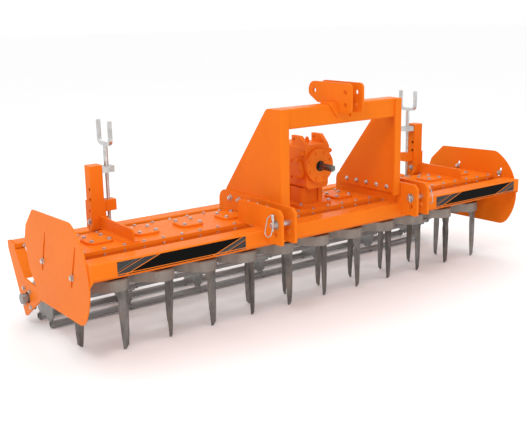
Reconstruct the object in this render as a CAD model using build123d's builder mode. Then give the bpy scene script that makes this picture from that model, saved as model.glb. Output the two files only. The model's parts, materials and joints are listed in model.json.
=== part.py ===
"""Power harrow: a geared row of tined rotors under a three-point headstock, with a rear cage roller."""

from build123d import *
import math
import os

os.makedirs("parts", exist_ok=True)

# Overall layout: X across the machine, Y from the tractor side back, Z up from the ground
HITCH_REACH = 121.0
BEAM_REACH = 1060.0
RAIL_FRONT = (HITCH_REACH - BEAM_REACH) / 2
RUNNING_GAP = 0.05
LOOSE_GAP = 0.5

# Gear trough, its lid and the front rail
ROTOR_COUNT = 11
ROTOR_PITCH = 250.0
ROTOR_REACH = 340.0
ROTOR_Y = RAIL_FRONT + ROTOR_REACH
END_MARGIN = 180.0
END_THICKNESS = 10.0
BODY_HALF = (ROTOR_COUNT - 1) / 2 * ROTOR_PITCH + END_MARGIN
END_X = BODY_HALF + END_THICKNESS
TROUGH_BOTTOM = 372.0
TROUGH_WIDTH = 250.0
TROUGH_WALL = 8.0
TROUGH_CORNER = 14.0
BOSS_R = 66.0
BOSS_HEIGHT = 34.0
RAIL_TOP = 530.0
RAIL_HEIGHT = 75.0
RAIL_DEPTH = 105.0
RAIL_WALL = 6.0
TUBE_CORNER = 10.0
LID_WIDTH = 320.0
LID_THICKNESS = 8.0
LID_STEP = 5.0
LID_TOP = RAIL_TOP + LID_STEP
CAP_SIZE = 130.0
CAP_CORNER = 34.0
CAP_THICKNESS = 13.0
CAP_BEVEL = 3.0

# End plates
END_FRONT_DROP = 4.0
END_NOSE = 85.0
END_REACH = 590.0
END_REAR_DROP = 30.0
END_STEP = 20.0

# Side deflectors: points as (reach behind the rail's front, height)
DEFLECTOR_THICKNESS = 6.0
DEFLECTOR_NOSE = ((188.0, 686.0), (18.0, 460.0), (105.0, 225.0))
DEFLECTOR_REAR = ((600.0, 214.0), (716.0, 348.0), (758.0, 488.0), (725.0, 574.0), (625.0, 668.0))
DEFLECTOR_CORNER = 75.0
DEFLECTOR_ROUND = 22.0
SLOT_WIDTH = 16.0
SLOT_LENGTH = 215.0
SLOT_TILT = 19.0
SLOT_Z = 482.0
SLOT_REACHES = (171.0, 511.0)

# Rotors: an oval carrier on a shaft
ROTOR_ANGLE = -45.0
SHAFT_R = 35.0
SHAFT_TOP_GAP = 10.0
HUB_R = 52.0
HUB_GAP = 5.0
CARRIER_DROP = 8.0
CARRIER_HEIGHT = 58.0
CARRIER_LENGTH = 284.0
CARRIER_WIDTH = 150.0
CARRIER_BEVEL = 6.0
CARRIER_TOP = TROUGH_BOTTOM - CARRIER_DROP
CARRIER_BOTTOM = CARRIER_TOP - CARRIER_HEIGHT
NUT_R = 30.0
NUT_HEIGHT = 18.0

# Knife tines, canted to their radius: sections as (height, chord, thickness, shift along the chord)
TINE_RADIUS = 112.0
TINE_CANT = 55.0
TINE_SECTIONS = (
    (CARRIER_BOTTOM, 88.0, 26.0, -12.0),
    (283.0, 70.0, 24.0, -4.0),
    (255.0, 52.0, 22.0, 0.0),
    (212.0, 62.0, 22.0, 0.0),
    (68.0, 46.0, 17.0, 4.0),
    (17.0, 35.0, 13.0, 4.0),
    (0.0, 14.0, 9.0, -3.0),
)

# Headstock
COLUMN_X = 411.0
GUSSET_THICKNESS = 12.0
COLUMN_FLANGE = 50.0
COLUMN_BEND = 11.0
GUSSET_BOTTOM = 580.0
GUSSET_REAR = 497.0
GUSSET_TOP_DEPTH = 117.0
GUSSET_SHOULDER = 647.0
GUSSET_ROUND = 40.0
TOP_BEAM_SIZE = 100.0
TOP_BEAM_TOP = 1109.0
TOP_BEAM_WALL = 8.0

# Lower hitch: two ears a side with a pin
EAR_THICKNESS = 16.0
EAR_GAP = 65.0
EAR_TOP = 647.0
EAR_BOTTOM = 474.0
EAR_OUTER_REAR = 245.0
EAR_INNER_REAR = 540.0
EAR_OUTER_ROUND = 20.0
EAR_INNER_ROUND = 60.0
EAR_NOSE = 24.0
EAR_HEEL = 8.0
LOWER_PIN_R = 14.0
LOWER_PIN_PLAY = 0.25
LOWER_PIN_REACH = 78.0
LOWER_PIN_Y = RAIL_FRONT - LOWER_PIN_REACH
LOWER_PIN_Z = 573.0
LOWER_HOLE_Z = 524.0
PIN_TAIL = 22.0
PIN_BEVEL = 3.0
WASHER_R = 24.0
WASHER_THICKNESS = 6.0
LINCH_HOLE_R = 5.5
LINCH_STUB = 24.0

# Top link bracket
TOP_PLATE_X = 32.0
TOP_PLATE_THICKNESS = 12.0
TOP_PLATE_FRONT = 95.0
TOP_PLATE_TOP = 1217.0
TOP_PLATE_DROP = 40.0
TOP_PLATE_FOOT = 165.0
TOP_PLATE_HEEL = 14.0
TOP_PLATE_TAIL = 40.0
TOP_PLATE_ROUND = 26.0
TOP_PIN_R = 12.85
TOP_HOLE_AHEAD = 50.0
TOP_HOLE_BEHIND = 190.0
TOP_HOLE_PITCH = 63.0
KNEE_THICKNESS = 10.0
KNEE_WIDTH = 48.0
KNEE_REACH = 72.0
KNEE_DROP = 68.0

# Gearbox and power take-off shaft
GEARBOX_FOOT = 230.0
GEARBOX_FOOT_CORNER = 30.0
GEARBOX_FOOT_HEIGHT = 18.0
PEDESTAL_WIDTH = 152.0
PEDESTAL_RIB = 34.0
PEDESTAL_CORNER = 9.0
PEDESTAL_PANEL = 10.0
GEARBOX_BODY_Z = 638.0
GEARBOX_LEDGE_Z = 748.0
GEARBOX_TOP = 877.0
GEARBOX_WIDTH = 168.0
GEARBOX_FRONT = 118.5
GEARBOX_REAR = 118.5
GEARBOX_CORNER = 20.0
GEARBOX_TAPER = 26.0
PTO_Z = 762.0
PTO_COVER_R = 90.0
PTO_COVER_DEPTH = 26.0
PTO_R = 17.45
PTO_JOURNAL_R = 21.45
PTO_JOURNAL = 120.0
PTO_REACH = 104.0
SPLINE_COUNT = 6
SPLINE_LENGTH = 76.0
SPLINE_DEPTH = 2.6
SPLINE_GAP = 8.8
SIDE_COVER_R = 62.0
SIDE_COVER_X = 104.0
SIDE_COVER_AHEAD = 50.0
SIDE_COVER_Z = 747.0
SIDE_PLUG_R = 14.0
SIDE_PLUG_AHEAD = 100.0
SIDE_PLUG_Z = 831.0
REAR_COVER_WIDTH = 148.0
REAR_COVER_HEIGHT = 178.0
REAR_COVER_DEPTH = 16.0
LUG_X = 58.0
LUG_THICKNESS = 22.0
LUG_INSET = 4.5
LUG_LENGTH = 115.0
LUG_SLOPE = 45.0
LUG_TOP = 922.0
LUG_HOLE_R = 8.0
LUG_HOLE_INSET = 21.0
PLUG_R = 11.0
PLUG_HEIGHT = 24.0
PLUG_AHEAD = 33.0

# Depth posts on their feet
POST_SHIFT = 4.0
POST_X = (ROTOR_COUNT - 2) / 2 * ROTOR_PITCH + POST_SHIFT
POST_REACH = 590.0
POST_Y = RAIL_FRONT + POST_REACH
OUTER_TUBE = 80.0
OUTER_TUBE_WALL = 4.5
OUTER_TUBE_TOP = 672.0
INNER_TUBE = 70.0
INNER_TUBE_WALL = 5.0
INNER_TUBE_TOP = 850.0
INNER_TUBE_BOTTOM = 355.0
POST_HOLE_R = 9.0
POST_HOLE_AHEAD = 15.0
OUTER_HOLES = (625.0,)
INNER_HOLES = (733.0, 682.0)
COLLAR_THICKNESS = 10.0
COLLAR_HEIGHT = 60.0
COLLAR_SPREAD = 24.0
COLLAR_ROUND = 70.0
WEB_REACH = 196.0
WEB_HEIGHT = 66.0
WEB_THICKNESS = 10.0
WEB_CORNER = 14.0
FOOT_WIDTH = 70.0
FOOT_THICKNESS = 6.0
EAR_BLOCK_REACH = 62.0
EAR_BLOCK_WIDTH = 50.0
EAR_BLOCK_TOP = 670.0
EAR_BLOCK_HEIGHT = 56.0

# Depth screws with a fork for a handle
SCREW_OFFSET = 71.0
SCREW_X = POST_X - SCREW_OFFSET
SCREW_R = 9.0
SCREW_BOTTOM = 500.0
STEM_R = 12.0
SCREW_BLOCK_Z = 808.0
SCREW_BLOCK_HEIGHT = 32.0
SCREW_BLOCK_WIDTH = 50.0
SCREW_BLOCK_REACH = 68.0
FORK_Z = 942.0
FORK_TOP = 1065.0
FORK_SPREAD = 140.0
FORK_BAR = 16.0
FORK_DEPTH = 18.0
FORK_ROUND = 34.0

# Roller frame
REAR_BEAM = 100.0
REAR_BEAM_HEIGHT = 30.0
REAR_BEAM_WALL = 5.0
REAR_BEAM_TOP = 421.0
LINK_WIDTH = 60.0
LINK_HEIGHT = 36.0
LINK_CORNER = 8.0
ARM_OUTER_X = BODY_HALF
ARM_PLATE = 10.0
ARM_FLANGE = 46.0
ARM_HEEL = 40.0
ARM_TOE = 117.0
ARM_TOE_WIDTH = 50.0
ARM_HORN = 190.0
ARM_HORN_RISE = 40.0
ARM_HORN_WIDTH = 44.0
ARM_THROAT = 97.0
ARM_ROUND = 14.0
AXLE_HOLE_PLAY = 10.0

# Cage roller
ROLLER_BARS = 6
ROLLER_BAR_R = 17.0
ROLLER_BAR_WALL = 3.5
ROLLER_CIRCLE_R = 164.0
ROLLER_SIDE_GAP = 68.0
ROLLER_HALF = ARM_OUTER_X - ARM_PLATE - ROLLER_SIDE_GAP
ROLLER_PLATES = 7
ROLLER_PLATE_THICKNESS = 8.0
ROLLER_PLATE_INSET = 8.0
ROLLER_LUG = 4.0
ROLLER_WEB = 20.0
ROLLER_SCALLOP_R = 44.0
ROLLER_BACKSET = 232.0
ROLLER_Y = RAIL_FRONT + BEAM_REACH - ROLLER_BACKSET
ROLLER_Z = ROLLER_BAR_R + ROLLER_LUG + ROLLER_CIRCLE_R * math.cos(math.pi / ROLLER_BARS)
AXLE_R = 20.0
AXLE_ROOT = 60.0
AXLE_STUB = 36.0
AXLE_END_X = ARM_OUTER_X + AXLE_STUB
AXLE_CAP_R = 27.0
AXLE_CAP = 26.0
BEARING_FLANGE = 116.0
BEARING_FLANGE_DEPTH = 12.0
BEARING_CORNER = 24.0
BEARING_R = 44.0
BEARING_DEPTH = 36.0

rotor_xs = [(i - (ROTOR_COUNT - 1) / 2) * ROTOR_PITCH for i in range(ROTOR_COUNT)]
trough_front = ROTOR_Y - TROUGH_WIDTH / 2
trough_back = ROTOR_Y + TROUGH_WIDTH / 2
lid_front = ROTOR_Y - LID_WIDTH / 2
lid_back = ROTOR_Y + LID_WIDTH / 2
flange_top = LID_TOP - LID_THICKNESS
shaft_top = TROUGH_BOTTOM + TROUGH_WALL + BOSS_HEIGHT + SHAFT_TOP_GAP
gearbox_front = ROTOR_Y - GEARBOX_FRONT
gearbox_back = ROTOR_Y + GEARBOX_REAR
lug_front = gearbox_front + LUG_INSET
lug_rear = lug_front + LUG_LENGTH
cover_front = gearbox_front - PTO_COVER_DEPTH
pto_tip = cover_front - PTO_REACH
outer_ear_x = COLUMN_X + EAR_THICKNESS + EAR_GAP
post_front = POST_Y - OUTER_TUBE / 2
web_front = RAIL_FRONT + WEB_REACH
top_beam_front = RAIL_FRONT + GUSSET_THICKNESS
top_lobe_r = (TOP_PLATE_TOP - TOP_BEAM_TOP - TOP_PLATE_HEEL) / 2
top_hole_z = TOP_PLATE_TOP - top_lobe_r
beam_front = RAIL_FRONT + BEAM_REACH - REAR_BEAM
beam_bottom = REAR_BEAM_TOP - REAR_BEAM_HEIGHT
arm_inner_x = ARM_OUTER_X - ARM_PLATE


def save(part, name):
    """Label a finished piece and write it as its own file."""
    part.label = name
    export_step(part, f"parts/{name}.step")


def save_pair(part, name):
    """Write a right-hand piece and its mirror image."""
    save(part, f"{name}_right")
    save(mirror(part, about=Plane.YZ), f"{name}_left")


# Gear trough: a folded channel with bolting flanges and a bearing boss under every rotor
with BuildPart() as trough:
    with BuildSketch(Plane.YZ.offset(-BODY_HALF)):
        with BuildLine():
            Polyline(
                (lid_front, flange_top),
                (lid_front, flange_top - TROUGH_WALL),
                (trough_front, flange_top - TROUGH_WALL),
                (trough_front, TROUGH_BOTTOM),
                (trough_back, TROUGH_BOTTOM),
                (trough_back, flange_top - TROUGH_WALL),
                (lid_back, flange_top - TROUGH_WALL),
                (lid_back, flange_top),
                (trough_back - TROUGH_WALL, flange_top),
                (trough_back - TROUGH_WALL, TROUGH_BOTTOM + TROUGH_WALL),
                (trough_front + TROUGH_WALL, TROUGH_BOTTOM + TROUGH_WALL),
                (trough_front + TROUGH_WALL, flange_top),
                close=True,
            )
        make_face()
    extrude(amount=2 * BODY_HALF)
    fillet(trough.edges().filter_by(Axis.X).group_by(Axis.Z)[0], TROUGH_CORNER)
    with Locations(*[(x, ROTOR_Y, TROUGH_BOTTOM + TROUGH_WALL) for x in rotor_xs]):
        Cylinder(BOSS_R, BOSS_HEIGHT, align=(Align.CENTER, Align.CENTER, Align.MIN))
    with BuildSketch(Plane.XY.offset(TROUGH_BOTTOM)):
        with Locations(*[(x, ROTOR_Y) for x in rotor_xs]):
            Circle(SHAFT_R + RUNNING_GAP)
    extrude(amount=TROUGH_WALL + BOSS_HEIGHT, mode=Mode.SUBTRACT)
save(trough.part, "gear_trough")

# Lid over the trough
with BuildPart() as lid:
    with BuildSketch(Plane.XY.offset(flange_top)):
        with Locations((0, ROTOR_Y)):
            Rectangle(2 * BODY_HALF, LID_WIDTH)
    extrude(amount=LID_THICKNESS)
save(lid.part, "trough_lid")

# Bearing caps over every rotor but the middle one, which the gearbox covers
with BuildPart() as caps:
    with BuildSketch(Plane.XY.offset(LID_TOP)):
        with Locations(*[(x, ROTOR_Y) for x in rotor_xs if x]):
            RectangleRounded(CAP_SIZE, CAP_SIZE, CAP_CORNER)
    extrude(amount=CAP_THICKNESS)
    chamfer(caps.edges().group_by(Axis.Z)[-1], CAP_BEVEL)
save(caps.part, "bearing_caps")

# Front rail: a rectangular tube
with BuildPart() as rail:
    with BuildSketch(Plane.YZ.offset(-BODY_HALF)):
        with Locations((RAIL_FRONT + RAIL_DEPTH / 2, RAIL_TOP - RAIL_HEIGHT / 2)):
            RectangleRounded(RAIL_DEPTH, RAIL_HEIGHT, TUBE_CORNER)
            Rectangle(RAIL_DEPTH - 2 * RAIL_WALL, RAIL_HEIGHT - 2 * RAIL_WALL, mode=Mode.SUBTRACT)
    extrude(amount=2 * BODY_HALF)
save(rail.part, "front_rail")

# End plates that close the trough and carry the rail and the deflectors
with BuildPart() as end_plate:
    with BuildSketch(Plane.YZ.offset(BODY_HALF)):
        with BuildLine():
            Polyline(
                (RAIL_FRONT, RAIL_TOP),
                (RAIL_FRONT, RAIL_TOP - RAIL_HEIGHT - END_FRONT_DROP),
                (RAIL_FRONT + END_NOSE, TROUGH_BOTTOM),
                (RAIL_FRONT + END_REACH, TROUGH_BOTTOM),
                (RAIL_FRONT + END_REACH, RAIL_TOP - END_REAR_DROP),
                (lid_back, LID_TOP),
                (lid_front, LID_TOP),
                (lid_front - END_STEP, RAIL_TOP),
                close=True,
            )
        make_face()
    extrude(amount=END_THICKNESS)
save_pair(end_plate.part, "end_plate")

# Side deflectors with two slanting slots each
with BuildPart() as deflector:
    with BuildSketch(Plane.YZ.offset(END_X)) as deflector_outline:
        with BuildLine():
            nose = ThreePointArc(*[(RAIL_FRONT + reach, height) for reach, height in DEFLECTOR_NOSE])
            rear = [(RAIL_FRONT + reach, height) for reach, height in DEFLECTOR_REAR]
            Polyline(nose @ 1, *rear, nose @ 0)
        make_face()
        fillet(deflector_outline.vertices().sort_by_distance(nose @ 1)[0], DEFLECTOR_CORNER)
        fillet(deflector_outline.vertices().sort_by_distance(nose @ 0)[0], DEFLECTOR_CORNER)
        fillet([deflector_outline.vertices().sort_by_distance(corner)[0] for corner in rear], DEFLECTOR_ROUND)
        with Locations(*[Location((RAIL_FRONT + reach, SLOT_Z), SLOT_TILT + 90) for reach in SLOT_REACHES]):
            SlotOverall(SLOT_LENGTH, SLOT_WIDTH, mode=Mode.SUBTRACT)
    extrude(amount=DEFLECTOR_THICKNESS)
save_pair(deflector.part, "deflector")

# Headstock side: a gusset plate folded into a front flange
with BuildPart() as column:
    with BuildSketch(Plane.YZ.offset(COLUMN_X - GUSSET_THICKNESS)) as gusset_outline:
        with BuildLine():
            Polyline(
                (RAIL_FRONT, GUSSET_BOTTOM),
                (RAIL_FRONT, TOP_BEAM_TOP),
                (RAIL_FRONT + GUSSET_TOP_DEPTH, TOP_BEAM_TOP),
                (RAIL_FRONT + GUSSET_REAR, GUSSET_SHOULDER),
                (RAIL_FRONT + GUSSET_REAR, GUSSET_BOTTOM),
                close=True,
            )
        make_face()
        shoulder = gusset_outline.vertices().group_by(Axis.X)[-1].sort_by(Axis.Y)[-1]
        crest = gusset_outline.vertices().group_by(Axis.Y)[-1].sort_by(Axis.X)[-1]
        fillet([shoulder, crest], GUSSET_ROUND)
    extrude(amount=GUSSET_THICKNESS)
    with Locations((COLUMN_X, RAIL_FRONT, GUSSET_BOTTOM)):
        Box(
            COLUMN_FLANGE,
            GUSSET_THICKNESS,
            TOP_BEAM_TOP - GUSSET_BOTTOM,
            align=(Align.MAX, Align.MIN, Align.MIN),
        )
    fillet(column.edges().filter_by(Axis.Z).group_by(Axis.X)[-1].group_by(Axis.Y)[0], COLUMN_BEND)
save_pair(column.part, "headstock_side")

# Top beam between the headstock sides, behind their flanges
with BuildPart() as top_beam:
    with BuildSketch(Plane.YZ.offset(GUSSET_THICKNESS - COLUMN_X)):
        with Locations((top_beam_front + TOP_BEAM_SIZE / 2, TOP_BEAM_TOP - TOP_BEAM_SIZE / 2)):
            RectangleRounded(TOP_BEAM_SIZE, TOP_BEAM_SIZE, TUBE_CORNER)
            hollow = TOP_BEAM_SIZE - 2 * TOP_BEAM_WALL
            Rectangle(hollow, hollow, mode=Mode.SUBTRACT)
    extrude(amount=2 * (COLUMN_X - GUSSET_THICKNESS))
save(top_beam.part, "headstock_beam")


def ear_plate(x_inner, rear_reach, rear_round):
    """A hitch plate that saddles the rail and stands on the lid, with two pin holes."""
    rear_y = RAIL_FRONT + rear_reach
    with BuildPart() as ear:
        with BuildSketch(Plane.YZ.offset(x_inner)) as outline:
            with BuildLine():
                Polyline(
                    (RAIL_FRONT - HITCH_REACH, EAR_BOTTOM),
                    (RAIL_FRONT, EAR_BOTTOM),
                    (RAIL_FRONT, RAIL_TOP),
                    (lid_front, RAIL_TOP),
                    (lid_front, LID_TOP),
                    (rear_y, LID_TOP),
                    (rear_y, EAR_TOP),
                    (RAIL_FRONT - HITCH_REACH, EAR_TOP),
                    close=True,
                )
            make_face()
            fillet(outline.vertices().group_by(Axis.X)[-1].sort_by(Axis.Y)[-1], rear_round)
            chamfer(outline.vertices().group_by(Axis.X)[0].sort_by(Axis.Y)[-1], EAR_NOSE)
            fillet(outline.vertices().group_by(Axis.Y)[0], EAR_HEEL)
            with Locations((LOWER_PIN_Y, LOWER_PIN_Z), (LOWER_PIN_Y, LOWER_HOLE_Z)):
                Circle(LOWER_PIN_R + LOWER_PIN_PLAY, mode=Mode.SUBTRACT)
        extrude(amount=EAR_THICKNESS)
    return ear.part


save_pair(ear_plate(COLUMN_X, EAR_INNER_REAR, EAR_INNER_ROUND), "hitch_ear_inner")
save_pair(ear_plate(outer_ear_x, EAR_OUTER_REAR, EAR_OUTER_ROUND), "hitch_ear_outer")

# Lower hitch pins with a washer and a linch pin hole outside
washer_x = outer_ear_x + EAR_THICKNESS
pin_end_x = washer_x + WASHER_THICKNESS + LINCH_STUB
with BuildPart() as hitch_pin:
    with BuildSketch(Plane.YZ.offset(COLUMN_X - PIN_TAIL)):
        with Locations((LOWER_PIN_Y, LOWER_PIN_Z)):
            Circle(LOWER_PIN_R)
    extrude(amount=pin_end_x - COLUMN_X + PIN_TAIL)
    chamfer(hitch_pin.edges().group_by(Axis.X)[0], PIN_BEVEL)
    chamfer(hitch_pin.edges().group_by(Axis.X)[-1], PIN_BEVEL)
    with BuildSketch(Plane.YZ.offset(washer_x)):
        with Locations((LOWER_PIN_Y, LOWER_PIN_Z)):
            Circle(WASHER_R)
    extrude(amount=WASHER_THICKNESS)
    with Locations((pin_end_x - LINCH_STUB / 2, LOWER_PIN_Y, LOWER_PIN_Z)):
        Cylinder(LINCH_HOLE_R, 2 * LOWER_PIN_R, mode=Mode.SUBTRACT)
save_pair(hitch_pin.part, "hitch_pin")

# Top link bracket: two plates over the beam, each with a knee on its outer side
with BuildPart() as top_plate:
    with BuildSketch(Plane.YZ.offset(TOP_PLATE_X)) as outline:
        with BuildLine():
            Polyline(
                (top_beam_front, TOP_BEAM_TOP),
                (top_beam_front, TOP_BEAM_TOP - TOP_PLATE_DROP),
                (RAIL_FRONT - TOP_PLATE_FRONT, TOP_BEAM_TOP - TOP_PLATE_DROP),
                (RAIL_FRONT - TOP_PLATE_FRONT, TOP_PLATE_TOP),
                (RAIL_FRONT + TOP_HOLE_BEHIND + top_lobe_r, TOP_PLATE_TOP),
                (RAIL_FRONT + TOP_HOLE_BEHIND + top_lobe_r, TOP_BEAM_TOP + TOP_PLATE_TAIL),
                (RAIL_FRONT + TOP_PLATE_FOOT, TOP_BEAM_TOP),
                close=True,
            )
        make_face()
        fillet(outline.vertices().group_by(Axis.X)[-1].sort_by(Axis.Y)[-1], top_lobe_r - LOOSE_GAP)
        fillet(outline.vertices().group_by(Axis.X)[-1].sort_by(Axis.Y)[0], TOP_PLATE_ROUND)
        fillet(outline.vertices().group_by(Axis.X)[0], TOP_PLATE_ROUND)
        with Locations(
            (RAIL_FRONT - TOP_HOLE_AHEAD, top_hole_z),
            (RAIL_FRONT - TOP_HOLE_AHEAD, top_hole_z - TOP_HOLE_PITCH),
            (RAIL_FRONT + TOP_HOLE_BEHIND, top_hole_z),
        ):
            Circle(TOP_PIN_R, mode=Mode.SUBTRACT)
    extrude(amount=TOP_PLATE_THICKNESS)
    knee_x = TOP_PLATE_X + TOP_PLATE_THICKNESS
    with BuildSketch(Plane.XZ.offset(-top_beam_front)) as knee_outline:
        with BuildLine():
            Polyline(
                (knee_x, TOP_BEAM_TOP + KNEE_THICKNESS),
                (knee_x + KNEE_WIDTH, TOP_BEAM_TOP + KNEE_THICKNESS),
                (knee_x + KNEE_WIDTH, TOP_BEAM_TOP - KNEE_THICKNESS),
                (knee_x, TOP_BEAM_TOP - KNEE_DROP),
                close=True,
            )
        make_face()
        fillet(knee_outline.vertices().group_by(Axis.X)[-1], KNEE_THICKNESS - LOOSE_GAP)
    extrude(amount=KNEE_THICKNESS)
    with Locations((knee_x, top_beam_front, TOP_BEAM_TOP)):
        Box(KNEE_WIDTH, KNEE_REACH, KNEE_THICKNESS, align=(Align.MIN, Align.MIN, Align.MIN))
with BuildPart() as top_bracket:
    add(top_plate.part)
    mirror(about=Plane.YZ)
save(top_bracket.part, "top_link_bracket")

# Gearbox housing: a ribbed pedestal, a cast body with bearing covers and two lifting lugs
with BuildPart() as gearbox:
    with BuildSketch(Plane.XY.offset(LID_TOP)):
        with Locations((0, ROTOR_Y)):
            RectangleRounded(GEARBOX_FOOT, GEARBOX_FOOT, GEARBOX_FOOT_CORNER)
    extrude(amount=GEARBOX_FOOT_HEIGHT)
    panel_z = LID_TOP + GEARBOX_FOOT_HEIGHT
    with BuildSketch(Plane.XY.offset(panel_z)):
        with Locations((0, ROTOR_Y)):
            RectangleRounded(PEDESTAL_WIDTH, PEDESTAL_WIDTH, PEDESTAL_CORNER)
            with PolarLocations(PEDESTAL_WIDTH / 2, 4):
                Rectangle(2 * PEDESTAL_PANEL, PEDESTAL_WIDTH - 2 * PEDESTAL_RIB, mode=Mode.SUBTRACT)
    extrude(amount=GEARBOX_BODY_Z - panel_z)
    with BuildSketch(Plane.XZ.offset(-gearbox_back)):
        with Locations((0, GEARBOX_BODY_Z)):
            lower_height = GEARBOX_LEDGE_Z + 2 * GEARBOX_TAPER - GEARBOX_BODY_Z
            align_low = (Align.CENTER, Align.MIN)
            RectangleRounded(PEDESTAL_WIDTH, lower_height, GEARBOX_TAPER, align=align_low)
    extrude(amount=gearbox_back - gearbox_front)
    with BuildSketch(Plane.XZ.offset(-gearbox_back)):
        with Locations((0, (GEARBOX_LEDGE_Z + GEARBOX_TOP) / 2)):
            RectangleRounded(GEARBOX_WIDTH, GEARBOX_TOP - GEARBOX_LEDGE_Z, GEARBOX_CORNER)
    extrude(amount=gearbox_back - gearbox_front)
    with BuildSketch(Plane.XZ.offset(-gearbox_front)):
        with Locations((0, PTO_Z)):
            Circle(PTO_COVER_R)
    extrude(amount=PTO_COVER_DEPTH)
    with BuildSketch(Plane.XZ.offset(-gearbox_back)):
        with Locations((0, PTO_Z)):
            RectangleRounded(REAR_COVER_WIDTH, REAR_COVER_HEIGHT, GEARBOX_FOOT_CORNER)
    extrude(amount=-REAR_COVER_DEPTH)
    with BuildSketch(Plane.YZ):
        with Locations((ROTOR_Y - SIDE_COVER_AHEAD, SIDE_COVER_Z)):
            Circle(SIDE_COVER_R)
        with Locations((ROTOR_Y - SIDE_PLUG_AHEAD, SIDE_PLUG_Z)):
            Circle(SIDE_PLUG_R)
    extrude(amount=SIDE_COVER_X, both=True)
    for lug_x in (LUG_X, -LUG_X - LUG_THICKNESS):
        with BuildSketch(Plane.YZ.offset(lug_x)):
            with BuildLine():
                Polyline(
                    (lug_front, GEARBOX_TOP - GEARBOX_CORNER),
                    (lug_front, GEARBOX_TOP),
                    (lug_front + LUG_SLOPE, LUG_TOP),
                    (lug_rear, LUG_TOP),
                    (lug_rear, GEARBOX_TOP - GEARBOX_CORNER),
                    close=True,
                )
            make_face()
            with Locations((lug_rear - LUG_HOLE_INSET, LUG_TOP - LUG_HOLE_INSET)):
                Circle(LUG_HOLE_R, mode=Mode.SUBTRACT)
        extrude(amount=LUG_THICKNESS)
    with Locations((0, ROTOR_Y - PLUG_AHEAD, GEARBOX_TOP)):
        Cylinder(PLUG_R, PLUG_HEIGHT, align=(Align.CENTER, Align.CENTER, Align.MIN))
    with BuildSketch(Plane.XZ.offset(-cover_front)):
        with Locations((0, PTO_Z)):
            Circle(PTO_JOURNAL_R + RUNNING_GAP)
    extrude(amount=-PTO_JOURNAL, mode=Mode.SUBTRACT)
save(gearbox.part, "gearbox_housing")

# Power take-off shaft: a journal in the front cover and a splined stub
with BuildPart() as pto:
    with BuildSketch(Plane.XZ.offset(-cover_front)):
        with Locations((0, PTO_Z)):
            Circle(PTO_JOURNAL_R)
    extrude(amount=-PTO_JOURNAL)
    with BuildSketch(Plane.XZ.offset(-cover_front)):
        with Locations((0, PTO_Z)):
            Circle(PTO_R)
    extrude(amount=PTO_REACH)
    with BuildSketch(Plane.XZ.offset(-pto_tip)):
        with Locations((0, PTO_Z)):
            with PolarLocations(PTO_R, SPLINE_COUNT):
                Rectangle(2 * SPLINE_DEPTH, SPLINE_GAP)
    extrude(amount=-SPLINE_LENGTH, mode=Mode.SUBTRACT)
save(pto.part, "pto_shaft")

# Outer depth posts: a tube behind the lid on a collar, web and foot plate, with the screw's ear
with BuildPart() as outer_post:
    with BuildSketch(Plane.XY.offset(LID_TOP)):
        with Locations((POST_X, POST_Y)):
            RectangleRounded(OUTER_TUBE, OUTER_TUBE, TUBE_CORNER)
    extrude(amount=OUTER_TUBE_TOP - LID_TOP)
    with BuildSketch(Plane.XZ.offset(-post_front)):
        base_half = OUTER_TUBE / 2 + COLLAR_SPREAD
        collar_top = LID_TOP + COLLAR_HEIGHT
        with BuildLine():
            right_end = RadiusArc(
                (POST_X + OUTER_TUBE / 2, collar_top), (POST_X + base_half, LID_TOP), -COLLAR_ROUND
            )
            left_end = RadiusArc(
                (POST_X - base_half, LID_TOP), (POST_X - OUTER_TUBE / 2, collar_top), -COLLAR_ROUND
            )
            Line(left_end @ 1, right_end @ 0)
            Line(right_end @ 1, left_end @ 0)
        make_face()
    extrude(amount=COLLAR_THICKNESS)
    with BuildSketch(Plane.YZ.offset(POST_X - WEB_THICKNESS / 2)) as web_outline:
        with BuildLine():
            Polyline(
                (web_front, LID_TOP),
                (web_front, LID_TOP + WEB_HEIGHT),
                (post_front, LID_TOP + WEB_HEIGHT),
                (post_front, LID_TOP),
                close=True,
            )
        make_face()
        fillet(web_outline.vertices().group_by(Axis.X)[0].sort_by(Axis.Y)[-1], WEB_CORNER)
    extrude(amount=WEB_THICKNESS)
    with BuildSketch(Plane.XY.offset(LID_TOP)):
        with Locations((POST_X, (web_front + lid_back) / 2)):
            Rectangle(FOOT_WIDTH, lid_back - web_front)
    extrude(amount=FOOT_THICKNESS)
    with Locations((POST_X - OUTER_TUBE / 2, POST_Y, EAR_BLOCK_TOP)):
        Box(
            EAR_BLOCK_REACH,
            EAR_BLOCK_WIDTH,
            EAR_BLOCK_HEIGHT,
            align=(Align.MAX, Align.CENTER, Align.MAX),
        )
    with BuildSketch(Plane.XY.offset(LID_TOP)):
        with Locations((SCREW_X, POST_Y)):
            Circle(SCREW_R + LOOSE_GAP)
        with Locations((POST_X, POST_Y)):
            bore = OUTER_TUBE - 2 * OUTER_TUBE_WALL
            Rectangle(bore, bore)
    extrude(amount=OUTER_TUBE_TOP - LID_TOP, mode=Mode.SUBTRACT)
    with BuildSketch(Plane.YZ.offset(POST_X - OUTER_TUBE / 2)):
        with Locations(*[(POST_Y - POST_HOLE_AHEAD, z) for z in OUTER_HOLES]):
            Circle(POST_HOLE_R)
    extrude(amount=OUTER_TUBE, mode=Mode.SUBTRACT)
save_pair(outer_post.part, "outer_post")

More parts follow.
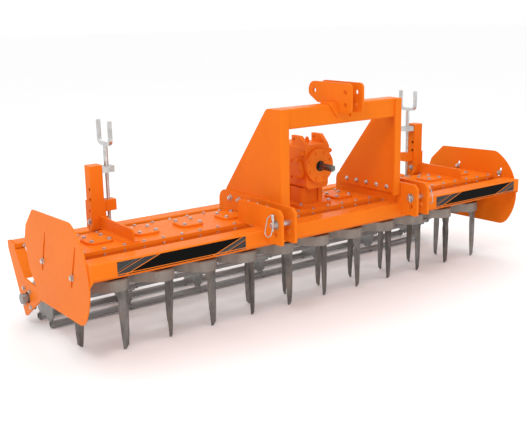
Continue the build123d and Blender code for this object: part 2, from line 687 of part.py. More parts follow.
# Inner depth posts, which slide in the outer ones, with the link back under the rear beam
with BuildPart() as inner_post:
    with BuildSketch(Plane.XY.offset(INNER_TUBE_BOTTOM)):
        with Locations((POST_X, POST_Y)):
            RectangleRounded(INNER_TUBE, INNER_TUBE, TUBE_CORNER)
    extrude(amount=INNER_TUBE_TOP - INNER_TUBE_BOTTOM)
    with BuildSketch(Plane.XY.offset(INNER_TUBE_BOTTOM)):
        with Locations((POST_X, POST_Y)):
            hollow = INNER_TUBE - 2 * INNER_TUBE_WALL
            Rectangle(hollow, hollow)
    extrude(amount=INNER_TUBE_TOP - INNER_TUBE_BOTTOM - INNER_TUBE_WALL, mode=Mode.SUBTRACT)
    with BuildSketch(Plane.XZ.offset(-(POST_Y + INNER_TUBE / 2))):
        with Locations((POST_X, beam_bottom - LINK_HEIGHT / 2)):
            RectangleRounded(LINK_WIDTH, LINK_HEIGHT, LINK_CORNER)
    extrude(amount=-(beam_front + REAR_BEAM - TUBE_CORNER - POST_Y - INNER_TUBE / 2))
    with BuildSketch(Plane.YZ.offset(POST_X - INNER_TUBE / 2)):
        with Locations(*[(POST_Y - POST_HOLE_AHEAD, z) for z in INNER_HOLES]):
            Circle(POST_HOLE_R)
    extrude(amount=INNER_TUBE, mode=Mode.SUBTRACT)
save_pair(inner_post.part, "inner_post")

# Depth screws: a threaded rod with a stem and fork above the block that lifts the inner post
with BuildPart() as screw:
    with BuildSketch(Plane.XY.offset(SCREW_BOTTOM)):
        with Locations((SCREW_X, POST_Y)):
            Circle(SCREW_R)
    extrude(amount=SCREW_BLOCK_Z - SCREW_BOTTOM)
    with Locations((POST_X - INNER_TUBE / 2, POST_Y, SCREW_BLOCK_Z)):
        Box(
            SCREW_BLOCK_REACH,
            SCREW_BLOCK_WIDTH,
            SCREW_BLOCK_HEIGHT,
            align=(Align.MAX, Align.CENTER, Align.MIN),
        )
    with BuildSketch(Plane.XY.offset(SCREW_BLOCK_Z + SCREW_BLOCK_HEIGHT)):
        with Locations((SCREW_X, POST_Y)):
            Circle(STEM_R)
    extrude(amount=FORK_Z - SCREW_BLOCK_Z - SCREW_BLOCK_HEIGHT)
    with BuildSketch(Plane.YZ.offset(SCREW_X - FORK_DEPTH / 2)) as fork_outline:
        with Locations((POST_Y, FORK_Z)):
            Rectangle(FORK_SPREAD, FORK_TOP - FORK_Z, align=(Align.CENTER, Align.MIN))
        fillet(fork_outline.vertices().group_by(Axis.Y)[0], FORK_ROUND)
        with BuildSketch(mode=Mode.SUBTRACT) as fork_gap:
            with Locations((POST_Y, FORK_Z + FORK_BAR)):
                Rectangle(FORK_SPREAD - 2 * FORK_BAR, FORK_TOP - FORK_Z, align=(Align.CENTER, Align.MIN))
            fillet(fork_gap.vertices().group_by(Axis.Y)[0], FORK_ROUND - FORK_BAR)
    extrude(amount=FORK_DEPTH)
save_pair(screw.part, "depth_screw")

# Rear beam over the roller
with BuildPart() as rear_beam:
    with BuildSketch(Plane.YZ.offset(-arm_inner_x)):
        with Locations((beam_front + REAR_BEAM / 2, REAR_BEAM_TOP - REAR_BEAM_HEIGHT / 2)):
            RectangleRounded(REAR_BEAM, REAR_BEAM_HEIGHT, TUBE_CORNER)
            hollow = REAR_BEAM_HEIGHT - 2 * REAR_BEAM_WALL
            Rectangle(REAR_BEAM - 2 * REAR_BEAM_WALL, hollow, mode=Mode.SUBTRACT)
    extrude(amount=2 * arm_inner_x)
save(rear_beam.part, "rear_beam")

# Roller arms from the beam's ends down to the axle, with a stiffening flange up the front
throat = (ROLLER_Y + AXLE_R, ROLLER_Z + ARM_THROAT)
with BuildPart() as arm:
    with BuildSketch(Plane.YZ.offset(arm_inner_x)) as arm_outline:
        with BuildLine():
            Polyline(
                (beam_front, REAR_BEAM_TOP),
                (beam_front + REAR_BEAM, REAR_BEAM_TOP),
                (beam_front + REAR_BEAM, REAR_BEAM_TOP - ARM_HEEL),
                (ROLLER_Y + ARM_TOE_WIDTH, ROLLER_Z - ARM_TOE),
                (ROLLER_Y - ARM_HORN, ROLLER_Z + ARM_HORN_RISE),
                (ROLLER_Y - ARM_HORN, ROLLER_Z + ARM_HORN_RISE + ARM_HORN_WIDTH),
                throat,
                (beam_front, beam_bottom),
                close=True,
            )
        make_face()
        fillet(arm_outline.vertices().group_by(Axis.Y)[0], ARM_ROUND)
        fillet(arm_outline.vertices().group_by(Axis.X)[0], ARM_ROUND)
        with Locations((ROLLER_Y, ROLLER_Z)):
            Circle(AXLE_R + AXLE_HOLE_PLAY, mode=Mode.SUBTRACT)
    extrude(amount=ARM_PLATE)
    with BuildSketch(Plane.YZ.offset(arm_inner_x)):
        with BuildLine():
            Polyline(
                throat,
                (beam_front, beam_bottom),
                (beam_front + ARM_PLATE, beam_bottom),
                (throat[0] + ARM_PLATE, throat[1]),
                close=True,
            )
        make_face()
    extrude(amount=-ARM_FLANGE)
save_pair(arm.part, "roller_arm")

# Flange bearings inside the arms
with BuildPart() as bearing:
    with BuildSketch(Plane.YZ.offset(arm_inner_x)):
        with Locations((ROLLER_Y, ROLLER_Z)):
            RectangleRounded(BEARING_FLANGE, BEARING_FLANGE, BEARING_CORNER)
    extrude(amount=-BEARING_FLANGE_DEPTH)
    with BuildSketch(Plane.YZ.offset(arm_inner_x - BEARING_FLANGE_DEPTH)):
        with Locations((ROLLER_Y, ROLLER_Z)):
            Circle(BEARING_R)
    extrude(amount=BEARING_FLANGE_DEPTH - BEARING_DEPTH)
    with BuildSketch(Plane.YZ.offset(arm_inner_x)):
        with Locations((ROLLER_Y, ROLLER_Z)):
            Circle(AXLE_R + RUNNING_GAP)
    extrude(amount=-BEARING_DEPTH, mode=Mode.SUBTRACT)
save_pair(bearing.part, "roller_bearing")

# Cage roller: tubes on scalloped plates, with a capped stub axle at either end
plate_half = ROLLER_HALF - ROLLER_PLATE_INSET
plate_pitch = (2 * plate_half - ROLLER_PLATE_THICKNESS) / (ROLLER_PLATES - 1)
roller_centre = Plane(origin=(0, ROLLER_Y, ROLLER_Z), x_dir=(0, 1, 0), z_dir=(1, 0, 0))
with BuildPart() as roller:
    for i in range(ROLLER_PLATES):
        with BuildSketch(roller_centre.offset(i * plate_pitch - plate_half)):
            Circle(ROLLER_CIRCLE_R - ROLLER_WEB)
            with PolarLocations(ROLLER_CIRCLE_R, ROLLER_BARS):
                Circle(ROLLER_BAR_R + ROLLER_LUG)
            with PolarLocations(ROLLER_CIRCLE_R, ROLLER_BARS, start_angle=180 / ROLLER_BARS):
                Circle(ROLLER_SCALLOP_R, mode=Mode.SUBTRACT)
        extrude(amount=ROLLER_PLATE_THICKNESS)
    with BuildSketch(roller_centre.offset(-ROLLER_HALF)):
        with PolarLocations(ROLLER_CIRCLE_R, ROLLER_BARS):
            Circle(ROLLER_BAR_R)
    extrude(amount=2 * ROLLER_HALF)
    with BuildSketch(roller_centre.offset(-ROLLER_HALF)):
        with PolarLocations(ROLLER_CIRCLE_R, ROLLER_BARS):
            Circle(ROLLER_BAR_R - ROLLER_BAR_WALL)
    extrude(amount=2 * ROLLER_HALF, mode=Mode.SUBTRACT)
    for axle_start in (plate_half - AXLE_ROOT, -AXLE_END_X):
        with BuildSketch(roller_centre.offset(axle_start)):
            Circle(AXLE_R)
        extrude(amount=AXLE_END_X - plate_half + AXLE_ROOT)
    for cap_start in (AXLE_END_X - AXLE_CAP, -AXLE_END_X):
        with BuildSketch(roller_centre.offset(cap_start)):
            Circle(AXLE_CAP_R)
        extrude(amount=AXLE_CAP)
save(roller.part, "cage_roller")

# One rotor's carrier: an oval tine holder with a hub, a shaft and its nut
with BuildPart() as carrier:
    with BuildSketch(Plane.XY.offset(CARRIER_BOTTOM)):
        SlotOverall(CARRIER_LENGTH, CARRIER_WIDTH)
    extrude(amount=CARRIER_HEIGHT)
    chamfer(carrier.edges().group_by(Axis.Z)[-1], CARRIER_BEVEL)
    with BuildSketch(Plane.XY.offset(CARRIER_TOP)):
        Circle(HUB_R)
    extrude(amount=CARRIER_DROP - HUB_GAP)
    with BuildSketch(Plane.XY.offset(CARRIER_TOP)):
        Circle(SHAFT_R)
    extrude(amount=shaft_top - CARRIER_TOP)
    with BuildSketch(Plane.XY.offset(CARRIER_BOTTOM)):
        RegularPolygon(NUT_R, 6)
    extrude(amount=-NUT_HEIGHT)

# One knife tine: bevelled sections from its pad under the carrier to its point on the ground
cant = math.radians(TINE_CANT)
tine_plane = Plane(origin=(TINE_RADIUS, 0, 0), x_dir=(math.cos(cant), math.sin(cant), 0), z_dir=(0, 0, 1))
with BuildPart() as tine:
    for height, chord, thickness, shift in TINE_SECTIONS:
        with BuildSketch(tine_plane.offset(height)):
            with BuildLine():
                Polyline(
                    (shift - chord / 2, 0),
                    (shift - chord / 4, -thickness / 2),
                    (shift + chord / 4, -thickness / 2),
                    (shift + chord / 2, 0),
                    (shift + chord / 4, thickness / 2),
                    (shift - chord / 4, thickness / 2),
                    close=True,
                )
            make_face()
    loft(ruled=True)
with BuildPart() as tines:
    add(tine.part)
    add(tine.part.rotate(Axis.Z, 180))

# Neighbouring rotors turn opposite ways, so every second pair of tines is a mirror image
tine_hands = (tines.part, mirror(tines.part, about=Plane.XZ))
for number, x in enumerate(rotor_xs, start=1):
    place = Location((x, ROTOR_Y, 0), (0, 0, ROTOR_ANGLE))
    save(carrier.part.moved(place), f"rotor_{number:02d}_carrier")
    save(tine_hands[(number + 1) % 2].moved(place), f"rotor_{number:02d}_tines")
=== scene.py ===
"""Looks of the power harrow: finishes, fasteners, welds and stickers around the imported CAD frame."""

import json
import math

import bmesh
import bpy
from mathutils import Matrix, Vector


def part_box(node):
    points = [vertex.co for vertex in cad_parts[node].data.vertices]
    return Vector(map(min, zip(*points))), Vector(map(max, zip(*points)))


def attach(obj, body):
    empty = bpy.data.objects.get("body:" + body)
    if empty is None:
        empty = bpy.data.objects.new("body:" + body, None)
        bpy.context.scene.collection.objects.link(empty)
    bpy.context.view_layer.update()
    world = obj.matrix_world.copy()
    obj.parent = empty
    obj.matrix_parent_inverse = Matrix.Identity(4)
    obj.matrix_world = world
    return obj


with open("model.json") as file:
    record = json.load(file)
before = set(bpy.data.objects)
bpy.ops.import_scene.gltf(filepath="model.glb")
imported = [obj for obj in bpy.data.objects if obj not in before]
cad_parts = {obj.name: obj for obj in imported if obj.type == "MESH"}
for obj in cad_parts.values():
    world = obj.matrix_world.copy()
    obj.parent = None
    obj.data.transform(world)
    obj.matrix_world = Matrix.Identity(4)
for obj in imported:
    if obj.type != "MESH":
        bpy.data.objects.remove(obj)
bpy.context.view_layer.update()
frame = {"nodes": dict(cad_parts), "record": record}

# Places read from the CAD nodes, in metres
RAIL_LOW, RAIL_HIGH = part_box("front_rail")
LID_LOW, LID_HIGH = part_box("trough_lid")
CAP_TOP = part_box("bearing_caps")[1].z
GEARBOX_LOW, GEARBOX_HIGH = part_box("gearbox_housing")
EAR_LOW, EAR_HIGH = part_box("hitch_ear_inner_right")
OUTER_EAR_LOW, OUTER_EAR_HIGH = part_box("hitch_ear_outer_right")
PIN_LOW, PIN_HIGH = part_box("hitch_pin_right")
TOP_BEAM_LOW, TOP_BEAM_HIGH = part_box("headstock_beam")
POST_LOW, POST_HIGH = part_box("inner_post_right")
SCREW_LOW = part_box("depth_screw_right")[0]
ARM_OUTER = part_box("roller_arm_right")[1].x
REAR_LOW, REAR_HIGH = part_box("rear_beam")
ROLLER_LOW, ROLLER_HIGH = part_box("cage_roller")
DEFLECTOR_LOW, DEFLECTOR_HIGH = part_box("deflector_right")
CARRIER_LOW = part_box("rotor_06_carrier")[0]

# Sizes repeated from the part, in metres
SIDES = {"left": -1, "right": 1}
ROTOR_COUNT = 11
ROTOR_PITCH = 0.25
ROTOR_TURN = math.radians(-45)
CARRIER_NUT = 0.018
TROUGH_WALL = 0.008
GUSSET_THICKNESS = 0.012
COLUMN_FLANGE = 0.05
TOP_PLATE_OUTER = 0.044
GEARBOX_FOOT = 0.018
PTO_Z = 0.762
SIDE_COVER_X = 0.104
SIDE_COVER_AHEAD = 0.05
SIDE_COVER_Z = 0.747
SIDE_PLUG_AHEAD = 0.1
SIDE_PLUG_Z = 0.831
TOP_PLUG_AHEAD = 0.033
TOP_PLUG_Z = 0.901
LINCH_STUB = 0.024
SLOT_TILT = math.radians(19)
SLOT_Z = 0.482
SLOT_REACHES = (0.171, 0.511)
OUTER_TUBE = 0.08
INNER_TUBE = 0.07
COLLAR_THICKNESS = 0.01
WEB_REACH = 0.196
WEB_THICKNESS = 0.01
FOOT_WIDTH = 0.07
FOOT_THICKNESS = 0.006
SCREW_OFFSET = 0.071
LINK_WIDTH = 0.06
LINK_CORNER = 0.008
ROLLER_BARS = 6
ROLLER_CIRCLE = 0.164
ROLLER_PLATES = 7
ROLLER_PLATE = 0.008
ROLLER_PLATE_REACH = 1.344

# Places worked out from both
ROTOR_Y = (LID_LOW.y + LID_HIGH.y) / 2
ROTOR_X = [(i - (ROTOR_COUNT - 1) / 2) * ROTOR_PITCH for i in range(ROTOR_COUNT)]
CARRIER_UNDER = CARRIER_LOW.z + CARRIER_NUT
FLANGE_UNDER = LID_LOW.z - TROUGH_WALL
COLUMN_X = EAR_LOW.x
GUSSET_INNER = COLUMN_X - GUSSET_THICKNESS
PIN_Y = (PIN_LOW.y + PIN_HIGH.y) / 2
PIN_Z = (PIN_LOW.z + PIN_HIGH.z) / 2
POST_X = (POST_LOW.x + POST_HIGH.x) / 2
POST_Y = POST_LOW.y + INNER_TUBE / 2
POST_REAR = POST_Y + INNER_TUBE / 2
SCREW_X = POST_X - SCREW_OFFSET
ROLLER_Y = (ROLLER_LOW.y + ROLLER_HIGH.y) / 2
ROLLER_Z = (ROLLER_LOW.z + ROLLER_HIGH.z) / 2

# How far a piece is sunk into the face that carries it
BEDDING = 0.0003


# Node tools
def make_group(name, inputs, outputs):
    """A shader node group with named sockets; inputs are (name, kind, default)."""
    group = bpy.data.node_groups.new(name, "ShaderNodeTree")
    for label, kind, default in inputs:
        socket = group.interface.new_socket(label, in_out="INPUT", socket_type=kind)
        socket.default_value = default
    for label, kind in outputs:
        group.interface.new_socket(label, in_out="OUTPUT", socket_type=kind)
    enter = group.nodes.new("NodeGroupInput")
    leave = group.nodes.new("NodeGroupOutput")
    return group, enter.outputs, leave.inputs


def node(tree, kind, links, **settings):
    """Add a node, set its plain settings, then fill its sockets from values or other sockets."""
    new = tree.nodes.new(kind)
    for key, value in settings.items():
        setattr(new, key, value)
    for key, value in links.items():
        if isinstance(value, bpy.types.NodeSocket):
            tree.links.new(value, new.inputs[key])
        else:
            new.inputs[key].default_value = value
    return new


def noise(tree, place, scale, detail=3.0, roughness=0.55):
    """Noise over the piece's own coordinates."""
    links = {"Vector": place, "Scale": scale, "Detail": detail, "Roughness": roughness}
    return node(tree, "ShaderNodeTexNoise", links).outputs["Fac"]


def span(tree, value, low, high, to_low=0.0, to_high=1.0):
    """Stretch a value from low and high to a new range, clamped."""
    links = {"Value": value, "From Min": low, "From Max": high, "To Min": to_low, "To Max": to_high}
    return node(tree, "ShaderNodeMapRange", links).outputs["Result"]


def math_node(tree, operation, first, second=0.0):
    """One arithmetic step on two values or sockets."""
    return node(tree, "ShaderNodeMath", {0: first, 1: second}, operation=operation).outputs[0]


def part_of(tree, vector, axis):
    """One axis of a place or a direction."""
    return node(tree, "ShaderNodeSeparateXYZ", {0: vector}).outputs[axis]


def mix_value(tree, factor, first, second):
    """Blend two values by a mask."""
    links = {"Factor": factor, "A": first, "B": second}
    return node(tree, "ShaderNodeMix", links, data_type="FLOAT").outputs["Result"]


def mix_colour(tree, factor, first, second):
    """Blend two colours by a mask."""
    mix = node(tree, "ShaderNodeMix", {"Factor": factor}, data_type="RGBA")
    sockets = [s for s in mix.inputs if s.type == "RGBA"]
    for socket, value in zip(sockets, (first, second)):
        if isinstance(value, bpy.types.NodeSocket):
            tree.links.new(value, socket)
        else:
            socket.default_value = value
    return [s for s in mix.outputs if s.type == "RGBA"][0]


def bump(tree, height, strength, distance):
    """Turn a height into a surface normal."""
    links = {"Height": height, "Strength": strength, "Distance": distance}
    return node(tree, "ShaderNodeBump", links).outputs["Normal"]


# Shared effects
SKIN_OUTPUTS = [
    ("Colour", "NodeSocketColor"),
    ("Roughness", "NodeSocketFloat"),
    ("Normal", "NodeSocketVector"),
]


def build_paint_film():
    """Gloss paint: slow tone changes, fine peel, dust that settles on upward faces."""
    tree, given, out = make_group(
        "paint_film",
        [
            ("Colour", "NodeSocketColor", (0.8, 0.15, 0.02, 1)),
            ("Shade", "NodeSocketColor", (0.7, 0.1, 0.01, 1)),
            ("Dust Colour", "NodeSocketColor", (0.8, 0.45, 0.25, 1)),
            ("Dust", "NodeSocketFloat", 0.15),
            ("Gloss Low", "NodeSocketFloat", 0.24),
            ("Gloss High", "NodeSocketFloat", 0.4),
            ("Peel Scale", "NodeSocketFloat", 180.0),
            ("Peel Depth", "NodeSocketFloat", 0.0004),
        ],
        SKIN_OUTPUTS,
    )
    place = tree.nodes.new("ShaderNodeTexCoord").outputs["Object"]
    facing = tree.nodes.new("ShaderNodeNewGeometry").outputs["Normal"]
    upward = span(tree, part_of(tree, facing, "Z"), low=0.4, high=0.95)
    tone = span(tree, noise(tree, place, scale=3.2), low=0.3, high=0.7)
    painted = mix_colour(tree, tone, given["Shade"], given["Colour"])
    patches = span(tree, noise(tree, place, scale=14.0, detail=6.0, roughness=0.7), low=0.42, high=0.7)
    dust = math_node(tree, "MULTIPLY", math_node(tree, "MULTIPLY", upward, patches), given["Dust"])
    tree.links.new(mix_colour(tree, dust, painted, given["Dust Colour"]), out["Colour"])
    smear = span(tree, noise(tree, place, scale=22.0, detail=5.0, roughness=0.65), low=0.35, high=0.7)
    rough = mix_value(tree, smear, given["Gloss Low"], given["Gloss High"])
    tree.links.new(math_node(tree, "ADD", rough, dust), out["Roughness"])
    peel = noise(tree, place, given["Peel Scale"], detail=2.0)
    tree.links.new(bump(tree, peel, strength=0.35, distance=given["Peel Depth"]), out["Normal"])
    return tree


def build_steel_skin():
    """Bare steel: mill scale, streaks along one axis, small pits, and painted light that turns it
    paler above a height.
    """
    tree, given, out = make_group(
        "steel_skin",
        [
            ("Bright", "NodeSocketColor", (0.5, 0.5, 0.5, 1)),
            ("Dark", "NodeSocketColor", (0.2, 0.2, 0.2, 1)),
            ("Tint", "NodeSocketColor", (0.3, 0.2, 0.12, 1)),
            ("Tint Share", "NodeSocketFloat", 0.2),
            ("Painted Light Colour", "NodeSocketColor", (0.5, 0.5, 0.5, 1)),
            ("Painted Light Height", "NodeSocketFloat", 10.0),
            ("Streak", "NodeSocketVector", (1.0, 1.0, 1.0)),
            ("Gloss Low", "NodeSocketFloat", 0.3),
            ("Gloss High", "NodeSocketFloat", 0.55),
            ("Pit Scale", "NodeSocketFloat", 220.0),
            ("Pit Depth", "NodeSocketFloat", 0.0006),
        ],
        SKIN_OUTPUTS,
    )
    place = tree.nodes.new("ShaderNodeTexCoord").outputs["Object"]
    links = {0: place, 1: given["Streak"]}
    drawn = node(tree, "ShaderNodeVectorMath", links, operation="MULTIPLY").outputs[0]
    rubbed = noise(tree, drawn, scale=26.0, detail=6.0, roughness=0.65)
    mill_scale = span(tree, rubbed, low=0.36, high=0.68)
    base = mix_colour(tree, mill_scale, given["Dark"], given["Bright"])
    stain = span(tree, noise(tree, place, scale=9.0, detail=4.0, roughness=0.6), low=0.5, high=0.72)
    stain = math_node(tree, "MULTIPLY", stain, given["Tint Share"])
    stained = mix_colour(tree, stain, base, given["Tint"])
    # Painted light: above the given height the steel blends towards a paler colour, so the carriers
    # look lit where the trough shades them
    above = math_node(tree, "SUBTRACT", part_of(tree, place, "Z"), given["Painted Light Height"])
    rim = span(tree, above, low=-0.012, high=0.004, to_high=0.6)
    tree.links.new(mix_colour(tree, rim, stained, given["Painted Light Colour"]), out["Colour"])
    rough = mix_value(tree, mill_scale, given["Gloss High"], given["Gloss Low"])
    tree.links.new(rough, out["Roughness"])
    pits = noise(tree, place, given["Pit Scale"], detail=4.0, roughness=0.6)
    tree.links.new(bump(tree, pits, strength=0.5, distance=given["Pit Depth"]), out["Normal"])
    return tree


PRINT_BLACK = (0.004, 0.0038, 0.0035, 1)
PRINT_DARK = (0.006, 0.006, 0.006, 1)
PRINT_GREY = (0.13, 0.125, 0.12, 1)
PRINT_ORANGE = (0.82, 0.2, 0.02, 1)
PRINT_SLANT = 2.7
LINE_EDGE = 1.3


def build_stripe_band():
    """Sticker print: a black band with slanting grey ends, thin orange lines and a foot line."""
    tree, given, out = make_group(
        "stripe_band",
        [
            ("Left End", "NodeSocketFloat", -0.3),
            ("Right End", "NodeSocketFloat", 0.3),
            ("Foot", "NodeSocketFloat", 0.46),
            ("Head", "NodeSocketFloat", 0.52),
        ],
        SKIN_OUTPUTS[:2],
    )
    place = tree.nodes.new("ShaderNodeTexCoord").outputs["Object"]
    rise = math_node(tree, "SUBTRACT", part_of(tree, place, "Z"), given["Foot"])
    fall = math_node(tree, "SUBTRACT", part_of(tree, place, "Z"), given["Head"])

    def slanted(end, height):
        """The distance along the band from a line that slants through one of its ends."""
        along = math_node(tree, "SUBTRACT", part_of(tree, place, "X"), given[end])
        return math_node(tree, "SUBTRACT", along, math_node(tree, "MULTIPLY", height, PRINT_SLANT))

    slant_left, slant_right = slanted("Left End", rise), slanted("Right End", fall)
    course = node(tree, "ShaderNodeCombineXYZ", {"X": slant_left}).outputs[0]
    grain = noise(tree, course, scale=34.0, detail=5.0, roughness=0.7)
    grey = mix_colour(tree, span(tree, grain, low=0.4, high=0.66), PRINT_DARK, PRINT_GREY)
    left_end = span(tree, slant_left, low=0.03, high=0.046, to_low=1.0, to_high=0.0)
    right_end = span(tree, slant_right, low=-0.022, high=-0.006)
    print_colour = mix_colour(tree, math_node(tree, "MAXIMUM", left_end, right_end), PRINT_BLACK, grey)
    lines = 0.0
    for slant, middle, half in (
        (rise, 0.006, 0.0014),
        (slant_left, 0.042, 0.004),
        (slant_left, -0.04, 0.0025),
        (slant_right, -0.018, 0.004),
        (slant_right, 0.05, 0.0025),
    ):
        away = math_node(tree, "ABSOLUTE", math_node(tree, "SUBTRACT", slant, middle))
        line = span(tree, away, low=half, high=half * LINE_EDGE, to_low=1.0, to_high=0.0)
        lines = math_node(tree, "MAXIMUM", lines, line)
    tree.links.new(mix_colour(tree, lines, print_colour, PRINT_ORANGE), out["Colour"])
    tree.links.new(span(tree, grain, low=0.3, high=0.7, to_low=0.28, to_high=0.42), out["Roughness"])
    return tree


PAINT_FILM = build_paint_film()
STEEL_SKIN = build_steel_skin()
STRIPE_BAND = build_stripe_band()


def finish_material(name, group, values, metallic=0.0, ior=1.2):
    """A material whose shader takes its colour, roughness and normal from a shared effect."""
    material = bpy.data.materials.new(name)
    material.use_nodes = True
    tree = material.node_tree
    shader = tree.nodes["Principled BSDF"]
    shader.inputs["Metallic"].default_value = metallic
    shader.inputs["IOR"].default_value = ior
    effect = node(tree, "ShaderNodeGroup", {}, node_tree=group)
    for label, value in values.items():
        effect.inputs[label].default_value = value
    for output in effect.outputs:
        target = "Base Color" if output.name == "Colour" else output.name
        tree.links.new(output, shader.inputs[target])
    return material


def build_finishes():
    """One finish for each of the record's slots, and one for the shaft's oil seal."""
    paint = {
        "Colour": (0.83, 0.184, 0.011, 1),
        "Shade": (0.77, 0.163, 0.009, 1),
        "Dust Colour": (0.86, 0.26, 0.06, 1),
        "Dust": 0.16,
        "Gloss Low": 0.2,
        "Gloss High": 0.32,
        "Peel Depth": 0.0001,
    }
    cast_skin = {"Gloss Low": 0.36, "Gloss High": 0.54, "Peel Scale": 95.0, "Peel Depth": 0.0022}
    forged = {
        "Bright": (0.235, 0.224, 0.214, 1),
        "Dark": (0.125, 0.118, 0.112, 1),
        "Tint": (0.24, 0.18, 0.13, 1),
        "Tint Share": 0.45,
        # painted light: the carriers above this height are paler than the tines below it
        "Painted Light Colour": (0.34, 0.31, 0.27, 1),
        "Painted Light Height": CARRIER_UNDER,
        "Streak": (1.0, 1.0, 0.35),
        "Gloss Low": 0.34,
        "Gloss High": 0.6,
        "Pit Scale": 130.0,
        "Pit Depth": 0.0016,
    }
    drawn_tube = {
        "Bright": (0.34, 0.34, 0.336, 1),
        "Dark": (0.23, 0.23, 0.227, 1),
        "Tint": (0.24, 0.21, 0.18, 1),
        "Tint Share": 0.25,
        "Streak": (0.08, 1.0, 1.0),
        "Gloss Low": 0.27,
        "Gloss High": 0.4,
    }
    plated = {
        "Bright": (0.66, 0.66, 0.65, 1),
        "Dark": (0.46, 0.46, 0.455, 1),
        "Tint": (0.52, 0.48, 0.38, 1),
        "Tint Share": 0.3,
        "Gloss Low": 0.2,
        "Gloss High": 0.38,
        "Pit Depth": 0.0002,
    }
    oiled = {
        "Bright": (0.24, 0.22, 0.2, 1),
        "Dark": (0.1, 0.09, 0.085, 1),
        "Tint": (0.6, 0.14, 0.02, 1),
        "Tint Share": 0.55,
        "Streak": (1.0, 0.2, 1.0),
        "Gloss Low": 0.18,
        "Gloss High": 0.36,
        "Pit Depth": 0.0002,
    }
    rubber = {
        "Bright": (0.03, 0.028, 0.027, 1),
        "Dark": (0.014, 0.013, 0.013, 1),
        "Tint": (0.05, 0.03, 0.02, 1),
        "Gloss Low": 0.45,
        "Gloss High": 0.6,
    }
    return {
        "orange_paint": finish_material("orange_paint", PAINT_FILM, paint, ior=1.12),
        "orange_casting": finish_material("orange_casting", PAINT_FILM, paint | cast_skin),
        "tine_steel": finish_material("tine_steel", STEEL_SKIN, forged, metallic=0.5),
        "roller_steel": finish_material("roller_steel", STEEL_SKIN, drawn_tube, metallic=0.5),
        "zinc_plate": finish_material("zinc_plate", STEEL_SKIN, plated, metallic=0.85),
        "shaft_steel": finish_material("shaft_steel", STEEL_SKIN, oiled, metallic=0.8),
        "seal_rubber": finish_material("seal_rubber", STEEL_SKIN, rubber),
    }


FINISHES = build_finishes()
for row in frame["record"]["subparts"]:
    piece = frame["nodes"][row["node"]]
    piece.data.materials.clear()
    piece.data.materials.append(FINISHES[row["material_slot"]])


# Modelling tools
def deselect():
    """Drop every selection, also that of the CAD nodes."""
    bpy.ops.object.select_all(action="DESELECT")


def settle(name):
    """Apply the new primitive's place, turn and scale, and name it."""
    bpy.ops.object.transform_apply(location=True, rotation=True, scale=True)
    shape = bpy.context.object
    shape.name = name
    return shape


def turned_bar(name, corners, radius, depth, place, turn=(0, 0, 0)):
    """A round or cornered bar as a start for shaping."""
    deselect()
    bpy.ops.mesh.primitive_cylinder_add(
        vertices=corners, radius=radius, depth=depth, location=place, rotation=turn
    )
    return settle(name)


def pick_faces(shape, wanted):
    """In edit mode, select the faces whose normal is wanted."""
    bpy.ops.mesh.select_mode(type="FACE")
    bpy.ops.mesh.select_all(action="DESELECT")
    cage = bmesh.from_edit_mesh(shape.data)
    for face in cage.faces:
        face.select_set(wanted(face.normal))
    bmesh.update_edit_mesh(shape.data)


def pick_points(shape, wanted):
    """In edit mode, select the points whose place is wanted."""
    bpy.ops.mesh.select_mode(type="VERT")
    bpy.ops.mesh.select_all(action="DESELECT")
    cage = bmesh.from_edit_mesh(shape.data)
    for point in cage.verts:
        point.select_set(wanted(point.co))
    cage.select_flush(True)
    bmesh.update_edit_mesh(shape.data)


def fuse(shapes, name):
    """Join shapes into the first one."""
    deselect()
    for shape in shapes:
        shape.select_set(True)
    bpy.context.view_layer.objects.active = shapes[0]
    bpy.ops.object.join()
    shapes[0].name = name
    return shapes[0]


# The least upward share of a normal at which a face counts as level
LEVEL = 0.9


def crown(shape, width, rise):
    """Chamfer a bar's top into a crown."""
    bpy.ops.object.mode_set(mode="EDIT")
    pick_faces(shape, lambda normal: normal.z > LEVEL)
    bpy.ops.mesh.inset(thickness=width)
    bpy.ops.transform.translate(value=(0, 0, rise))
    bpy.ops.object.mode_set(mode="OBJECT")


def seat(place, facing, turn=0.0):
    """The matrix that stands a fastener on a face, bedded a little into it."""
    upright = Vector(facing).to_track_quat("Z", "Y").to_matrix().to_4x4()
    bedded = Vector(place) - Vector(facing) * BEDDING
    return Matrix.Translation(bedded) @ upright @ Matrix.Rotation(turn, 4, "Z")


def fit_piece(piece, body, finish):
    """Give a finished piece its material and the body that it rides on."""
    piece.data.materials.clear()
    piece.data.materials.append(FINISHES[finish])
    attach(piece, body)


def spread(pattern, name, seats, body, finish, smooth=35):
    """Copy a pattern to every seat, join the copies into one piece and fit it."""
    copies = []
    for place in seats:
        copy = pattern.copy()
        copy.data = pattern.data.copy()
        copy.data.transform(place)
        bpy.context.scene.collection.objects.link(copy)
        copies.append(copy)
    piece = fuse(copies, name)
    bpy.ops.object.shade_smooth_by_angle(angle=math.radians(smooth))
    fit_piece(piece, body, finish)


# Corners of bars
HEX = 6
SLIM_ROUND = 12
ROUND = 16
FINE_ROUND = 28

# Shares of a fastener's width across flats, of its height and of its washer's thickness
CROWN_WIDTH = 0.1
BOLT_CROWN = 0.16
NUT_CROWN = 0.14
WASHER_RADIUS = 0.7
WASHER_CHAMFER = 0.35
WASHER_CROWN = 0.2
STUD_RADIUS = 0.3
STUD_CHAMFER = 0.07
STUD_CROWN = 0.05
DOME_RIM = 0.2


# Fastener patterns, each seated on z = 0 and pointing up
def model_head(name, across, height, washer, rise):
    """A hex with a crowned top, lifted by its washer's thickness."""
    head = turned_bar(name, HEX, across / math.sqrt(3), height, (0, 0, washer + height / 2))
    crown(head, across * CROWN_WIDTH, height * rise)
    return head


def model_washer(across, washer):
    """The washer under a hex."""
    ring = turned_bar("washer", ROUND, across * WASHER_RADIUS, washer, (0, 0, washer / 2))
    crown(ring, washer * WASHER_CHAMFER, washer * WASHER_CROWN)
    return ring


